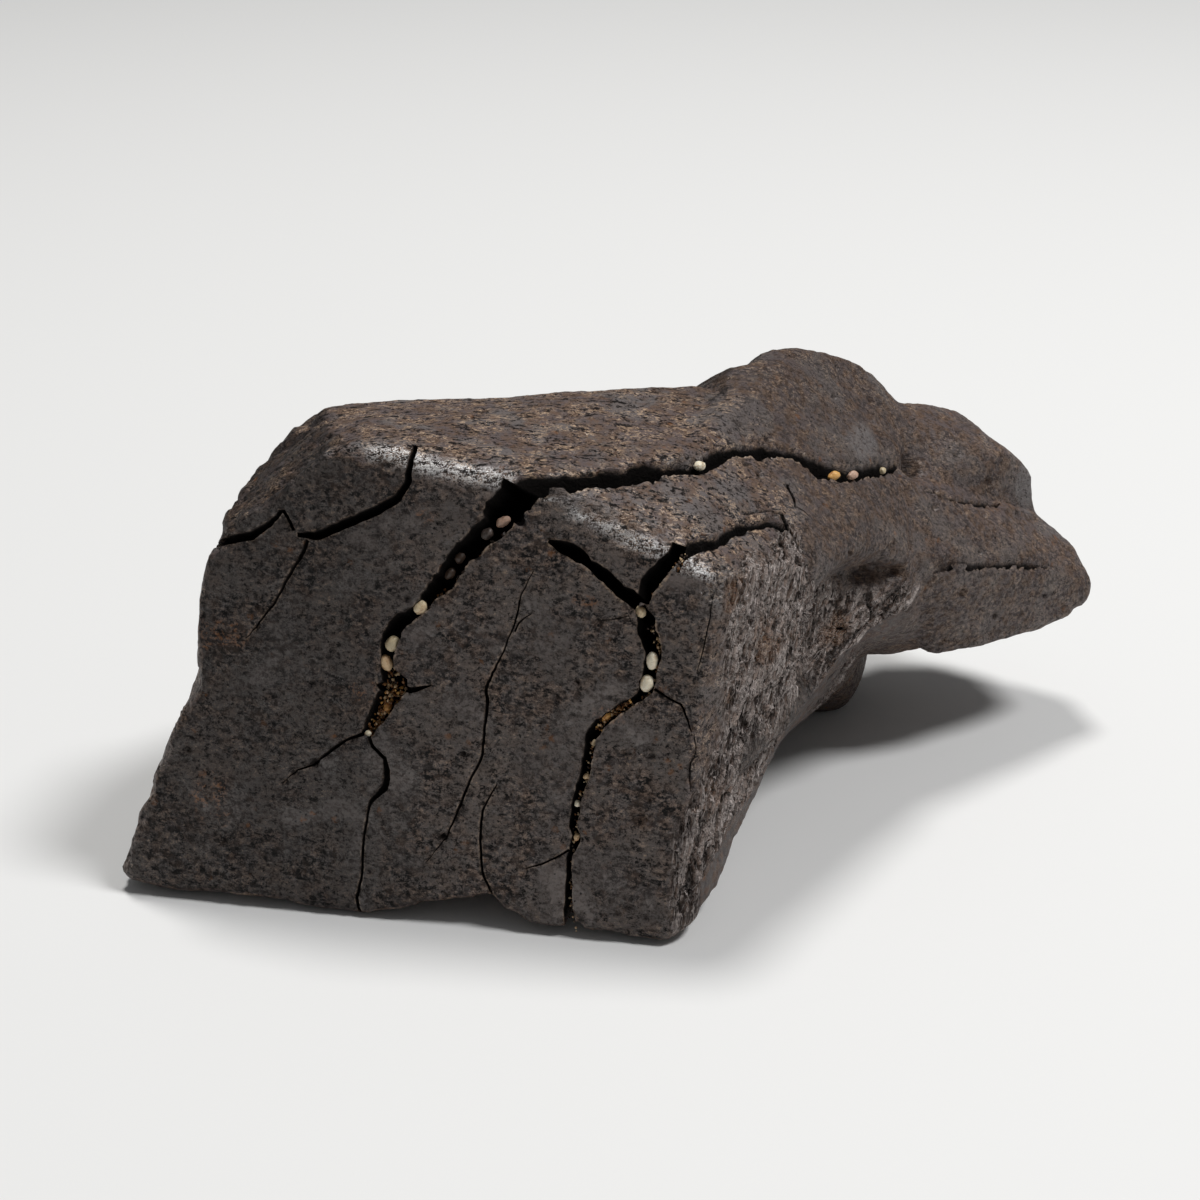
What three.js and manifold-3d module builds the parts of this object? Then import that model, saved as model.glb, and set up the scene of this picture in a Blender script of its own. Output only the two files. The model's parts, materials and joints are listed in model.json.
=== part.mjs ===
// A cracked chondrite: one stone, lying on the low points of its underside, with loose sand grains in its
// cracks.
// Millimetres. +X runs to the right along the broad front face, +Y to the back, +Z up.
// The lumps and cracks are drawn about a point low in the stone, and the whole is moved at the end, so that
// the origin is in the middle of the resting plane.
import * as THREE from 'three';
import { ConvexGeometry } from 'three/addons/geometries/ConvexGeometry.js';
import { mergeVertices } from 'three/addons/utils/BufferGeometryUtils.js';
import Module from 'manifold-3d';

// ---- driving dimensions ----
const faceFoot = -22.5;      // y of the front face where it meets the ground
const faceLean = 0.15;       // how far the face leans back for each millimetre of height
const restHeight = 0;        // the stone is worn flat at this height where it rests
const topHeight = 35.2;      // height of the top, at y = 0, along the crack that crosses it
const topFall = 0.3;         // how far that line falls for each millimetre to the back
const crackDive = 0.62;      // how far the front cracks dive for each millimetre behind the face
const crackDrift = 0.03;     // how far they drift to the right
const deepCrack = 8;         // depths behind the surface
const middlingCrack = 5.5;
const shallowCrack = 2.5;
const hairline = 0.9;
const cutterReach = 4;       // how far each cutter stands out past the surface
const grainDetail = 1;       // subdivision of a sand grain's twenty faces

const stoneFinish = { color: 0x332a26, roughness: 0.42, metalness: 0.0 };
const sandColours = {
  white: 0xe6dfcf,
  cream: 0xd9c9a6,
  tan: 0xc49a68,
  orange: 0xc98a3a,
  pink: 0xb98a74,
  olive: 0x9a8a66,
  umber: 0x5f4636,
  grey: 0x5b5350,
};

const wasm = await Module();
wasm.setup();

// a point of the front face, which leans back as it rises
const onFace = (x, z) => [x, faceFoot + faceLean * z, z];

// ---- lumps: each is the tightest convex shape round its corner points ----
const body = [
  onFace(-32.6, 1.6), onFace(-31.6, 15), onFace(-31.3, 27), onFace(-30.4, 31), onFace(-28.6, 32.8),
  onFace(-19.5, 40.2), onFace(-16, 41.2), onFace(-5.3, 39.6), onFace(-1.2, 38.9), onFace(8, 1),
  onFace(-18, 0),
  [-21.8, -3.8, 40], [-8.9, -0.4, 39.9], [3.4, 5.2, 39.8], [8, 8, 39.4], [8, -7, 38.5], [12, -0.2, 37],
  [-32, -6, 28], [-33.4, -4, 14], [-32, -6, 4], [-30, -10, 0], [-28.4, 6, 24], [-27.4, 8, 8], [-20, 6, 0],
  [-13, 17, 26], [-14, 19, 12], [-6, 15, 0], [2, 24, 24], [2, 27, 10], [6, 22, 2],
];

const shoulder = [
  onFace(-28.6, 33.2), onFace(-21, 34.6), onFace(-14, 38), onFace(-17.5, 40.9),
  [-29.7, -15.5, 33.2], [-28.7, -10.7, 34.7], [-26.4, -5.9, 37.6], [-24.6, -5.4, 39], [-23, -4.5, 40],
  [-29, -12, 28], [-26, 0, 36], [-14, -8, 40.4], [-12, -2, 36], [-14, -14, 30],
];

const hump = [
  [8, -7, 38.3], [12, -0.2, 37], [16.6, 5.2, 35.3], [19.6, 6.4, 33.4], [24, 14.2, 30.9],
  [25.8, 17.4, 29.8],
  [10.8, 12.3, 40], [14, 15.7, 40.6], [15.7, 17.1, 40.5], [18.3, 20.6, 39], [20.5, 22.8, 37.4],
  [21.9, 25.4, 35.5], [24.4, 22.3, 33], [24.6, 25.4, 32.5], [20, 30, 30], [8, 24, 32], [2, 13, 34],
  [4, 27, 12], [20, 31, 10], [22, 12, 12], [18, 8, 10], [4, 2, 10],
];

const frontPlate = [
  onFace(-2.2, 37.6), onFace(-1, 37.6), onFace(7, 34.2), onFace(13, 32.6), onFace(12.3, 26.5),
  onFace(11.2, 18), onFace(-6, 16),
  [0, -15.6, 38.2], [5.2, -11.6, 37.9], [8.6, -8.6, 37.4], [12.8, -1.8, 36], [17, 3.2, 34.5],
  [18.9, 4.2, 33.2], [21.8, 6.6, 31.5], [24.4, 12.4, 29.9], [26, 16, 28.9], [14.5, -13.2, 32.1],
  [16.7, -7.3, 31.7],
  [21.4, 4, 30.1], [23.7, 5.5, 28.6], [26.7, 8.4, 25.2], [24.2, 6, 17.3], [27.2, 8, 19.1],
  [28, 10.5, 20.1], [4, 4, 14],
];

// the right wall below the plate, in steps down to the front corner
const wallMiddle = [
  onFace(11.3, 20), onFace(11.4, 12), onFace(0, 12), [18.3, 0, 12.3], [21.6, 4.5, 15.8],
  [24.2, 6, 17.3], [27, 8.2, 19.2], [4, 4, 8], [8, 12, 14],
];

const wallLower = [
  onFace(11.4, 13), onFace(11.5, 6), onFace(0, 6), [18.3, 0, 12.3], [16.3, -4, 8.9], [14.2, -9, 5],
  [4, 4, 6],
];

const wallFoot = [
  onFace(11.5, 7), onFace(11.3, 1.8), onFace(9.3, 0), onFace(-8, 2.2), [13.2, -17, 2], [14.2, -9, 5],
  [6, -6, 4], [-4, -8, 6], onFace(-6, 10),
];

// the smooth strip under the wall's sharp lower edge, and the belly behind it
const stripFront = [
  [13.1, -17, 2.1], [14.1, -9, 5.1], [13.4, -9, 1.8], [8, -16, 1], [8, -9, 1.5], [8, -9, 5],
];

const stripMiddle = [
  [14.1, -9, 5.1], [16.2, -4, 9], [18.1, 0, 12.4], [13.4, -9, 1.8], [14.4, -2, 3.1], [16.3, 5, 5.3],
  [8, -9, 2], [8, 5, 4], [8, 0, 12],
];

const stripBack = [
  [17.6, -0.6, 12], [21.4, 5, 15.9], [24, 8, 17.4], [15.9, 4, 5], [18.9, 13, 5.8], [20.8, 18, 5],
  [22.8, 22, 7], [8, 5, 6], [8, 18, 6], [12, 10, 14],
];

const belly = [
  [23.2, 14, 11.2], [24, 18, 9.2], [26.3, 18, 9.3], [29.4, 18, 10.3], [27.2, 8.2, 19], [24.2, 7, 17.2],
  [28, 10.5, 20], [20, 20, 9], [20, 14, 14], [30, 24, 14],
];

const tailRoot = [
  [24.4, 22.3, 33], [24.6, 25.4, 32.5], [27.7, 28.4, 31.5], [30.6, 31, 30], [33.2, 27.6, 28.5],
  [35.5, 27.9, 27], [37.8, 29.9, 25], [38.6, 29.6, 19], [25.7, 20.4, 30.5], [27.9, 18.7, 27.6],
  [29.5, 19.4, 24.8],
  [35.2, 27, 22], [23, 35, 26], [32, 37, 21], [36, 35.5, 15], [28, 38, 12.5], [18, 36, 12], [20, 20, 14],
  [30, 20, 13],
];

const tailTip = [
  [25.8, 15.6, 29.3], [27.9, 17.8, 27], [29.5, 18.6, 24.3], [35.2, 26.8, 21.2], [38.6, 30, 20],
  [40.2, 30.1, 19],
  [42.5, 28.9, 17.5], [44.7, 26.5, 14.4], [44.6, 26.4, 12.6], [41.4, 23.9, 16.8], [35.6, 18.3, 18.6],
  [30, 12.2, 20.5], [28.2, 10.4, 22.8], [40.1, 22.7, 11], [34, 16.5, 11.5], [29.5, 14, 11.5],
  [42, 33, 13.5], [36, 35.5, 12], [26, 32, 8.6], [22, 26, 20], [19.5, 11, 22],
];

const leftFoot = [
  onFace(-38.2, 1.6), onFace(-36.3, 8.4), onFace(-33.5, 14.6), onFace(-32.2, 18.4), onFace(-26, 1),
  [-39.2, -20.6, 1.4], [-37.4, -20.4, 6.3], [-35.2, -20, 11.3], [-33, -19.4, 16], [-32, -18, 19.5],
  [-38.6, -20.2, 0], [-36.6, -21.6, 0], [-38, -14, 1.4], [-36.4, -11, 7], [-33.6, -8, 14],
  [-31.6, -9, 19], [-34, -9, 0], [-24, -14, 0],
];

const rearFoot = [
  [20.8, 18, 5], [22.8, 22, 7], [22.7, 24, 3.2], [21.9, 21, 2.7], [22.6, 30, 3], [14, 36, 3],
  [20.6, 23, 0], [21.6, 27, 0], [18, 33, 0], [9, 32, 0], [7, 24, 0], [13, 20, 0.6],
  [21.4, 19, 10], [23, 33, 14], [8, 35, 14], [6, 20, 12],
];

// ---- hollows: ellipsoids, each with its middle and its three radii ----
const hollows = [
  { middle: [14, 3, -10], radii: [24, 20, 15.2] },        // arch between the front edge and the rear foot
  { middle: [-8.2, -24, -0.6], radii: [4.6, 5, 3.4] },    // nick in the lower front edge
  { middle: [48, -4, 20], radii: [31, 17, 15] },          // the scooped right wall
  { middle: [24.6, 5, 23.2], radii: [3.4, 3.4, 1.4] },    // smooth pocket under the plate's right edge
  { middle: [-26, 38.6, 20.4], radii: [26, 26, 26] },     // shallow dishes of the back and the left side
  { middle: [8, 46.5, 22.8], radii: [20, 20, 20] },
  { middle: [-47, -1, 18], radii: [16, 16, 16] },
];

// ---- cracks: a line of points, each with the width of the gap there ----
// on the front face: across, height, width
const mainCrack = [
  [-2.2, 40.2, 3.4], [-3.6, 38.8, 3.4], [-4.5, 37.4, 3], [-5.4, 36, 2.6], [-6.5, 34.7, 2.2],
  [-7.8, 33.5, 2], [-9, 32.2, 1.9], [-9.8, 30.7, 1.8], [-10.8, 29.4, 1.5], [-11.9, 28.1, 1.5],
  [-13.2, 26.8, 1.4], [-14.3, 25.2, 1.6], [-14.9, 23.6, 1.5],
  [-14.7, 22.3, 1.5], [-14.4, 21, 2.2], [-14.9, 19.5, 1.7], [-15.8, 18, 1.3], [-16.7, 16.3, 0.9],
];
const mainCrackNotch = [[-14.6, 21.4, 0.6], [-12.8, 21, 0.9], [-10.9, 21.5, 0.1]];
const secondCrackLeft = [
  [-1.2, 34.5, 0.3], [0.5, 33.9, 1.2], [2, 32.9, 0.9], [3.5, 31.9, 1.1], [4.9, 30.7, 1.1], [6.6, 29.7, 1.4],
];
const secondCrackRight = [
  [6.5, 29.6, 1], [7.2, 31.2, 1.6], [8, 32.3, 1.8], [8.9, 33.5, 1.7], [9.4, 34.8, 1.4], [9.6, 36.2, 1.4],
];
const secondCrack = [
  [6.4, 30, 1.3], [6.8, 28.4, 1.3], [7.6, 25.6, 1.4], [7.3, 23.2, 1.6], [6.4, 21.7, 1],
  [4.6, 20.5, 1], [3.4, 19.2, 1.3], [2.8, 17.4, 1], [2.3, 14.6, 1], [1.7, 12.2, 0.9], [1.6, 10.5, 0.8],
  [1.7, 8.8, 0.9], [1.2, 6.4, 0.6], [1.3, 2.2, 0.8], [1.6, 0, 1.2], [1.7, -1.6, 1.4],
];
const shoulderCrack = [
  [-12.8, 42, 0.5], [-13, 38.6, 0.5], [-14, 37, 0.7], [-15.6, 36, 0.8], [-18.3, 34.7, 0.8],
  [-20.8, 33.5, 0.8],
  [-22.4, 33.5, 0.3],
];
const shoulderGap = [
  [-22.7, 33.8, 0.2], [-23.6, 35.6, 0.4], [-24.8, 34.2, 0.4], [-26.4, 33.1, 0.7], [-28.4, 32.6, 0.7],
  [-31, 32.2, 0.7],
];
// on the top, seen from above: x, y, width
const topCrack = [
  [-1.2, -15.6, 1.8], [1.5, -13.9, 1.5], [4.2, -12, 1.5], [6.7, -9.7, 1.6], [9.4, -6.9, 1.9],
  [11.1, -4.7, 1.5], [12.5, -1.7, 1.4],
  [14.3, 1.1, 1.4], [16.6, 3.5, 1.4], [19.5, 5, 1.5], [21.6, 7.5, 1.4], [23.1, 10.5, 1.3],
  [24.4, 13.6, 1.1], [25.8, 16.6, 0.2],
];
const plateCrack = [
  [8.8, -18, 0.8], [9.8, -16, 0.9], [11.1, -15, 1], [12.6, -13.4, 1], [13.9, -11, 1.2], [15.2, -8.4, 1.3],
  [16.4, -6.8, 0.8], [16.8, -5.6, 0.2],
];
// fine cracks of the front face
const hairlines = [
  [[-16.5, 16.8, 0.5], [-19, 15.4, 0.35], [-21.2, 13.5, 0.3], [-24, 11.8, 0.1]],
  [
    [-16.4, 16.6, 0.4], [-14.9, 14.4, 0.4], [-14.9, 12, 0.8], [-16.4, 10, 0.4], [-17, 4.4, 0.4],
    [-17.4, 0, 0.3],
  ],
  [
    [-2.4, 31.9, 0.1], [-4, 26.9, 0.25], [-5.5, 23.4, 0.3], [-6.2, 20.3, 0.4], [-6.5, 15.5, 0.4],
    [-8.5, 10.6, 0.3], [-11.4, 5.4, 0.1],
  ],
  [[-5.3, 13, 0.1], [-6.6, 9.6, 0.3], [-6.4, 5, 0.3], [-5, 1, 0.3]],
  [[-21.4, 33, 0.5], [-23.4, 29.6, 0.35], [-27, 24.6, 0.1]],
  [[8.2, 22.4, 0.4], [10.5, 21.2, 0.3], [11.3, 18.6, 0.3], [11, 15, 0.3]],
];

// ---- sand grains ----
// in the front cracks: across, height, depth behind the face, length, width, turn in degrees, colour
const faceGrains = [
  [-5.3, 36, 1.2, 1.4, 0.8, 35, 'pink'],
  [-6.6, 34.9, 1.2, 1.2, 0.9, 40, 'grey'],
  [-8.9, 32.7, 1.2, 1, 0.8, 50, 'umber'],
  [-9.7, 31.3, 1.2, 1.2, 0.8, 60, 'umber'],
  [-12, 28.1, 0.4, 1.3, 1.1, 55, 'cream'],
  [-14.4, 24.8, 0.4, 1.5, 1.2, 60, 'olive'],
  [-14.9, 23.1, 0.4, 1.5, 1, 100, 'tan'],
  [-15, 19.2, 1, 1, 0.8, 60, 'orange'],
  [-16.5, 16.7, 0.3, 0.6, 0.5, 50, 'white'],
  [6.5, 29.2, 0.5, 1.1, 0.9, 110, 'cream'],
  [7.6, 25.1, 0.4, 1.7, 1, 80, 'white'],
  [7.2, 23.1, 0.4, 1.6, 1.1, 70, 'white'],
  [3.9, 20, 0.5, 0.9, 0.6, 40, 'orange'],
  [2.9, 17.6, 0.4, 0.7, 0.5, 80, 'cream'],
  [2.4, 14.6, 0.3, 0.6, 0.5, 60, 'tan'],
  [1.7, 12.1, 0.3, 0.6, 0.6, 90, 'white'],
  [1.7, 9.1, 0.3, 0.7, 0.6, 90, 'tan'],
];
// in the crack across the top: x, y, height, length, width, turn in degrees, colour
const topGrains = [
  [9.6, -5.9, 37.3, 1.2, 0.8, 55, 'white'],
  [20.2, 5.5, 32.6, 1.3, 0.8, 45, 'orange'],
  [21.7, 7.4, 32, 1.2, 0.8, 55, 'pink'],
  [24.2, 12.6, 30.6, 0.8, 0.6, 65, 'olive'],
];

// ---- making the shapes ----
const toSolid = (geometry) => {
  geometry.deleteAttribute('normal');
  geometry.deleteAttribute('uv');
  const merged = mergeVertices(geometry, 1e-4);
  const vertProperties = new Float32Array(merged.getAttribute('position').array);
  const triVerts = new Uint32Array(merged.getIndex().array);
  return new wasm.Manifold(new wasm.Mesh({ numProp: 3, vertProperties, triVerts }));
};

const toGeometry = (solid) => {
  const { vertProperties, triVerts } = solid.getMesh();
  const geometry = new THREE.BufferGeometry();
  geometry.setAttribute('position', new THREE.BufferAttribute(vertProperties, 3));
  geometry.setIndex(new THREE.BufferAttribute(triVerts, 1));
  return geometry;
};

const makeLump = (points) => {
  const corners = points.map((point) => new THREE.Vector3(...point));
  return toSolid(new ConvexGeometry(corners));
};

const makeHollow = ({ middle, radii }) => {
  const geometry = new THREE.SphereGeometry(1, 28, 18);
  geometry.scale(...radii);
  geometry.translate(...middle);
  return toSolid(geometry);
};

// the outline of a crack: its line moved half its width to one side, and back along the other
const crackOutline = (line) => {
  const sides = line.map(([across, along, width], i) => {
    const before = line[Math.max(i - 1, 0)];
    const after = line[Math.min(i + 1, line.length - 1)];
    const direction = new THREE.Vector2(after[0] - before[0], after[1] - before[1]).normalize();
    const offset = new THREE.Vector2(-direction.y, direction.x).multiplyScalar(width / 2);
    const middle = new THREE.Vector2(across, along);
    return [middle.clone().add(offset), middle.clone().sub(offset)];
  });
  const left = sides.map(([one]) => one);
  const right = sides.map(([, other]) => other).reverse();
  return new THREE.Shape([...left, ...right]);
};

// a cutter from the given depth to past the surface; one basis lays its outline on the surface and slants it
const extrudeCut = (line, depth, sideways, along, outwards, start) => {
  const options = { depth: depth + cutterReach, bevelEnabled: false };
  const geometry = new THREE.ExtrudeGeometry(crackOutline(line), options);
  const basis = new THREE.Matrix4().makeBasis(sideways, along, outwards);
  geometry.applyMatrix4(basis.setPosition(start.addScaledVector(outwards, -depth)));
  return toSolid(geometry);
};

const makeFrontCut = (line, depth) => {
  const sideways = new THREE.Vector3(1, 0, 0);
  const along = new THREE.Vector3(0, faceLean, 1);
  const outwards = new THREE.Vector3(-crackDrift, -1, crackDive);
  return extrudeCut(line, depth, sideways, along, outwards, new THREE.Vector3(0, faceFoot, 0));
};

const makeTopCut = (line, depth) => {
  const sideways = new THREE.Vector3(1, 0, 0);
  const along = new THREE.Vector3(0, 1, -topFall);
  const outwards = new THREE.Vector3(0, 0, 1);
  return extrudeCut(line, depth, sideways, along, outwards, new THREE.Vector3(0, 0, topHeight));
};

const makeStone = () => {
  const lumps = [
    body, shoulder, hump, frontPlate, wallMiddle, wallLower, wallFoot, stripFront, stripMiddle,
    stripBack, belly, tailRoot, tailTip, leftFoot, rearFoot,
  ];
  let stone = lumps.map(makeLump).reduce((joined, lump) => joined.add(lump));
  const cuts = [
    ...hollows.map(makeHollow),
    makeFrontCut(mainCrack, deepCrack),
    makeFrontCut(mainCrackNotch, shallowCrack),
    makeFrontCut(secondCrackLeft, middlingCrack),
    makeFrontCut(secondCrackRight, middlingCrack),
    makeFrontCut(secondCrack, middlingCrack),
    makeFrontCut(shoulderCrack, middlingCrack),
    makeFrontCut(shoulderGap, middlingCrack),
    makeTopCut(topCrack, middlingCrack),
    makeTopCut(plateCrack, shallowCrack),
    ...hairlines.map((line) => makeFrontCut(line, hairline)),
  ];
  cuts.forEach((cut) => {
    stone = stone.subtract(cut);
  });
  const ground = new THREE.BoxGeometry(200, 200, 20);
  ground.translate(0, 0, restHeight - 10);
  return toGeometry(stone.subtract(toSolid(ground)));
};

const makeGrain = (name, length, width, turn, colour) => {
  const geometry = new THREE.IcosahedronGeometry(0.5, grainDetail);
  geometry.scale(length, width, width);
  geometry.rotateY(-THREE.MathUtils.degToRad(turn));
  const finish = { color: sandColours[colour], roughness: 0.6, metalness: 0.0 };
  const grain = new THREE.Mesh(geometry, new THREE.MeshStandardMaterial(finish));
  grain.name = name;
  return grain;
};

// ---- the whole ----
const stone = new THREE.Mesh(makeStone(), new THREE.MeshStandardMaterial(stoneFinish));
stone.name = 'stone';

const specimen = new THREE.Group();
specimen.add(stone);

faceGrains.forEach(([across, height, depth, length, width, turn, colour], i) => {
  const name = `sand_grain_front_${String(i + 1).padStart(2, '0')}`;
  const grain = makeGrain(name, length, width, turn, colour);
  const [x, y, z] = onFace(across, height);
  grain.position.set(x + crackDrift * depth, y + depth, z - crackDive * depth);
  specimen.add(grain);
});

topGrains.forEach(([x, y, z, length, width, turn, colour], i) => {
  const name = `sand_grain_top_${String(i + 1).padStart(2, '0')}`;
  const grain = makeGrain(name, length, width, 0, colour);
  grain.rotation.z = THREE.MathUtils.degToRad(turn);
  grain.position.set(x, y, z);
  specimen.add(grain);
});

// the origin goes to the middle of the resting plane
const extent = new THREE.Box3().setFromObject(specimen);
const middle = extent.getCenter(new THREE.Vector3());
specimen.position.set(-middle.x, -middle.y, -extent.min.z);

const group = new THREE.Group();
group.add(specimen);

export default group;
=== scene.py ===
# The cracked chondrite as it lies on a pale table: a fine stone shaped over the plain one, with sand in its cracks.
import bpy
import json
import math
import random
import time
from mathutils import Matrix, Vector

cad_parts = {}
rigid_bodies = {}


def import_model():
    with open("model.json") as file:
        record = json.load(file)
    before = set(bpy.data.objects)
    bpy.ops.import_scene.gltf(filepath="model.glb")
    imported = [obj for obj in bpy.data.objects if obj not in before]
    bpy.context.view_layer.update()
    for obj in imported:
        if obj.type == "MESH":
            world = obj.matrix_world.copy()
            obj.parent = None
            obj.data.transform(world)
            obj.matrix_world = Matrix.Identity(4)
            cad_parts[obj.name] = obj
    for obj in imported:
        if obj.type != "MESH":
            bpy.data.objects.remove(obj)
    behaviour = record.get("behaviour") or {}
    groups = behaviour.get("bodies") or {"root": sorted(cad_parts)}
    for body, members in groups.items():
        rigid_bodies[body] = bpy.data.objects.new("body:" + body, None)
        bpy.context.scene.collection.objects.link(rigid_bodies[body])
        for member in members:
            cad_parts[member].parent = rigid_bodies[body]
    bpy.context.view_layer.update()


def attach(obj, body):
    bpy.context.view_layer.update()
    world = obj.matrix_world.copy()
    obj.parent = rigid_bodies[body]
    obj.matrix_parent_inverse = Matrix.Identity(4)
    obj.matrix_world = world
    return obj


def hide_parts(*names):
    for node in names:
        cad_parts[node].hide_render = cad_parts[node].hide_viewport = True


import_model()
bpy.ops.object.select_all(action="DESELECT")
startTime = time.time()


def report(stage):
    print(f"{stage}: {time.time() - startTime:.1f} s")


# the stone's points are written in millimetres about a point low in the stone, like the plain one's
plan = {
    "shift": Vector((-2.75, -7.75, 0.0)),  # from the plan's middle to the finished part's
    "faceFoot": -22.5,                     # y of the front face where it meets the ground
    "faceLean": 0.15,                      # how far it leans back for each millimetre of height
}


def place(point):
    return (Vector(point) + plan["shift"]) / 1000


def onFace(across, height, depth=0.0):
    # a point of the front face, or the given depth behind it
    return (across, plan["faceFoot"] + plan["faceLean"] * height + depth, height)


def addMesh(name, points, edges=(), faces=()):
    # a new object from the plan's points
    mesh = bpy.data.meshes.new(name)
    mesh.from_pydata([place(point) for point in points], edges, faces)
    thing = bpy.data.objects.new(name, mesh)
    bpy.context.scene.collection.objects.link(thing)
    return thing


def newMaterial(name):
    material = bpy.data.materials.new(name)
    material.use_nodes = True
    return material, material.node_tree, material.node_tree.nodes["Principled BSDF"]


# camera, floor and light
view = {
    "eye": (33.0, -187.1, 109.9),  # about 20 cm from the stone
    "drop": 25.0,                  # degrees it looks down
    "turn": 10.0,                  # degrees it stands to the right
    "lens": 69.6,
}
light = {
    "overhead": {"from": (-0.07, 0.24, 1.0), "far": 0.9, "wide": 0.20, "power": 4.0, "tint": (1.0, 0.99, 0.97)},
    "side": {"from": (0.57, -0.04, 1.0), "far": 0.9, "wide": 0.22, "power": 4.6, "tint": (1.0, 1.0, 1.0)},
    "sky": 0.14,
    "skyTint": (0.97, 0.985, 1.0, 1),
}
paper = {"wide": 6, "below": 0.0002, "colour": (0.80, 0.80, 0.795, 1), "roughness": 0.7, "reflection": 0.2}


def addCamera():
    bpy.ops.object.camera_add(location=place(view["eye"]))
    camera = bpy.context.object
    camera.rotation_euler = (math.radians(90 - view["drop"]), 0, math.radians(view["turn"]))
    camera.data.lens = view["lens"]
    camera.data.sensor_width = 36
    camera.data.clip_start = 0.01
    camera.data.dof.use_dof = False
    bpy.context.scene.camera = camera


def addLamp(name, settings):
    direction = Vector(settings["from"]).normalized()
    bpy.ops.object.light_add(type="AREA", location=direction * settings["far"])
    lamp = bpy.context.object
    lamp.name = name
    lamp.rotation_euler = direction.to_track_quat("Z", "Y").to_euler()
    lamp.data.shape = "DISK"
    lamp.data.size = settings["wide"]
    lamp.data.energy = settings["power"]
    lamp.data.color = settings["tint"]


def addTable():
    bpy.ops.mesh.primitive_plane_add(size=paper["wide"], location=(0, 0, -paper["below"]))
    table = bpy.context.object
    table.name = "table_top"
    bpy.ops.object.transform_apply(location=True, rotation=True, scale=True)
    material, _, shader = newMaterial("white paper")
    shader.inputs["Base Color"].default_value = paper["colour"]
    shader.inputs["Roughness"].default_value = paper["roughness"]
    shader.inputs["Specular IOR Level"].default_value = paper["reflection"]
    table.data.materials.append(material)


def addSky():
    world = bpy.data.worlds.new("soft room")
    world.use_nodes = True
    background = world.node_tree.nodes["Background"]
    background.inputs["Color"].default_value = light["skyTint"]
    background.inputs["Strength"].default_value = light["sky"]
    bpy.context.scene.world = world
    bpy.context.scene.view_settings.view_transform = "Standard"


addCamera()
addTable()
addSky()
addLamp("overhead_lamp", light["overhead"])
addLamp("side_lamp", light["side"])
report("camera, table and lamps")


# node helpers
def put(tree, kind, feeds=None, **settings):
    # a node with its settings, fed by values or by other nodes' sockets
    node = tree.nodes.new(kind)
    for key, value in settings.items():
        setattr(node, key, value)
    for key, value in (feeds or {}).items():
        if isinstance(value, bpy.types.NodeSocket):
            tree.links.new(value, node.inputs[key])
        else:
            node.inputs[key].default_value = value
    return node


def calc(tree, operation, a, b=0.0, c=0.0):
    return put(tree, "ShaderNodeMath", {0: a, 1: b, 2: c}, operation=operation).outputs[0]


def vectorCalc(tree, operation, a, b=(0, 0, 0), c=(0, 0, 0)):
    return put(tree, "ShaderNodeVectorMath", {0: a, 1: b, 2: c}, operation=operation).outputs[0]


def inMillimetres(tree, place, shift=(0, 0, 0)):
    return vectorCalc(tree, "MULTIPLY_ADD", place, (1000, 1000, 1000), tuple(shift))


def times(tree, *factors):
    product = factors[0]
    for factor in factors[1:]:
        product = calc(tree, "MULTIPLY", product, factor)
    return product


def total(tree, *terms):
    result = terms[0]
    for term in terms[1:]:
        result = calc(tree, "ADD", result, term)
    return result


def ramp(tree, value, low, high, start=0.0, end=1.0):
    # start below low, end above high, with a smooth turn between
    feeds = {"Value": value, "From Min": low, "From Max": high, "To Min": start, "To Max": end}
    return put(tree, "ShaderNodeMapRange", feeds, interpolation_type="SMOOTHSTEP").outputs[0]


def stretched(tree, spot, along, factors):
    # spot seen in axes whose first one is along, then scaled
    first = Vector(along).normalized()
    turn = first.rotation_difference(Vector((1, 0, 0)))
    axis, angle = turn.to_axis_angle()
    turned = put(tree, "ShaderNodeVectorRotate", {"Vector": spot, "Axis": tuple(axis), "Angle": angle},
                 rotation_type="AXIS_ANGLE").outputs[0]
    return vectorCalc(tree, "MULTIPLY", turned, factors)


def grain(tree, spot, scale, detail=2.0, rough=0.5, warp=0.0):
    feeds = {"Vector": spot, "Scale": scale, "Detail": detail, "Roughness": rough, "Distortion": warp}
    return put(tree, "ShaderNodeTexNoise", feeds).outputs[0]


def cells(tree, spot, scale):
    return put(tree, "ShaderNodeTexVoronoi", {"Vector": spot, "Scale": scale})


def newShapeTree(name):
    # an empty tree of geometry nodes: its way in, its way out, and each point's place and direction
    tree = bpy.data.node_groups.new(name, "GeometryNodeTree")
    tree.interface.new_socket("Geometry", in_out="INPUT", socket_type="NodeSocketGeometry")
    tree.interface.new_socket("Geometry", in_out="OUTPUT", socket_type="NodeSocketGeometry")
    geometry = tree.nodes.new("NodeGroupInput").outputs[0]
    end = tree.nodes.new("NodeGroupOutput").inputs[0]
    position = tree.nodes.new("GeometryNodeInputPosition").outputs[0]
    normal = tree.nodes.new("GeometryNodeInputNormal").outputs[0]
    return tree, geometry, end, position, normal


def movePoints(tree, geometry, end, way, share):
    offset = put(tree, "ShaderNodeVectorMath", {0: way, "Scale": share}, operation="SCALE").outputs[0]
    moved = put(tree, "GeometryNodeSetPosition", {"Geometry": geometry, "Offset": offset})
    tree.links.new(moved.outputs[0], end)


def applyRelief(stone, name, shape):
    # moves every point along its normal by the millimetres that shape works out
    tree, geometry, end, position, normal = newShapeTree(name)
    height = shape(tree, inMillimetres(tree, position, -plan["shift"]), normal)
    movePoints(tree, geometry, end, normal, calc(tree, "MULTIPLY", height, 0.001))
    applyModifier(stone, name, "NODES", node_group=tree)


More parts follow.
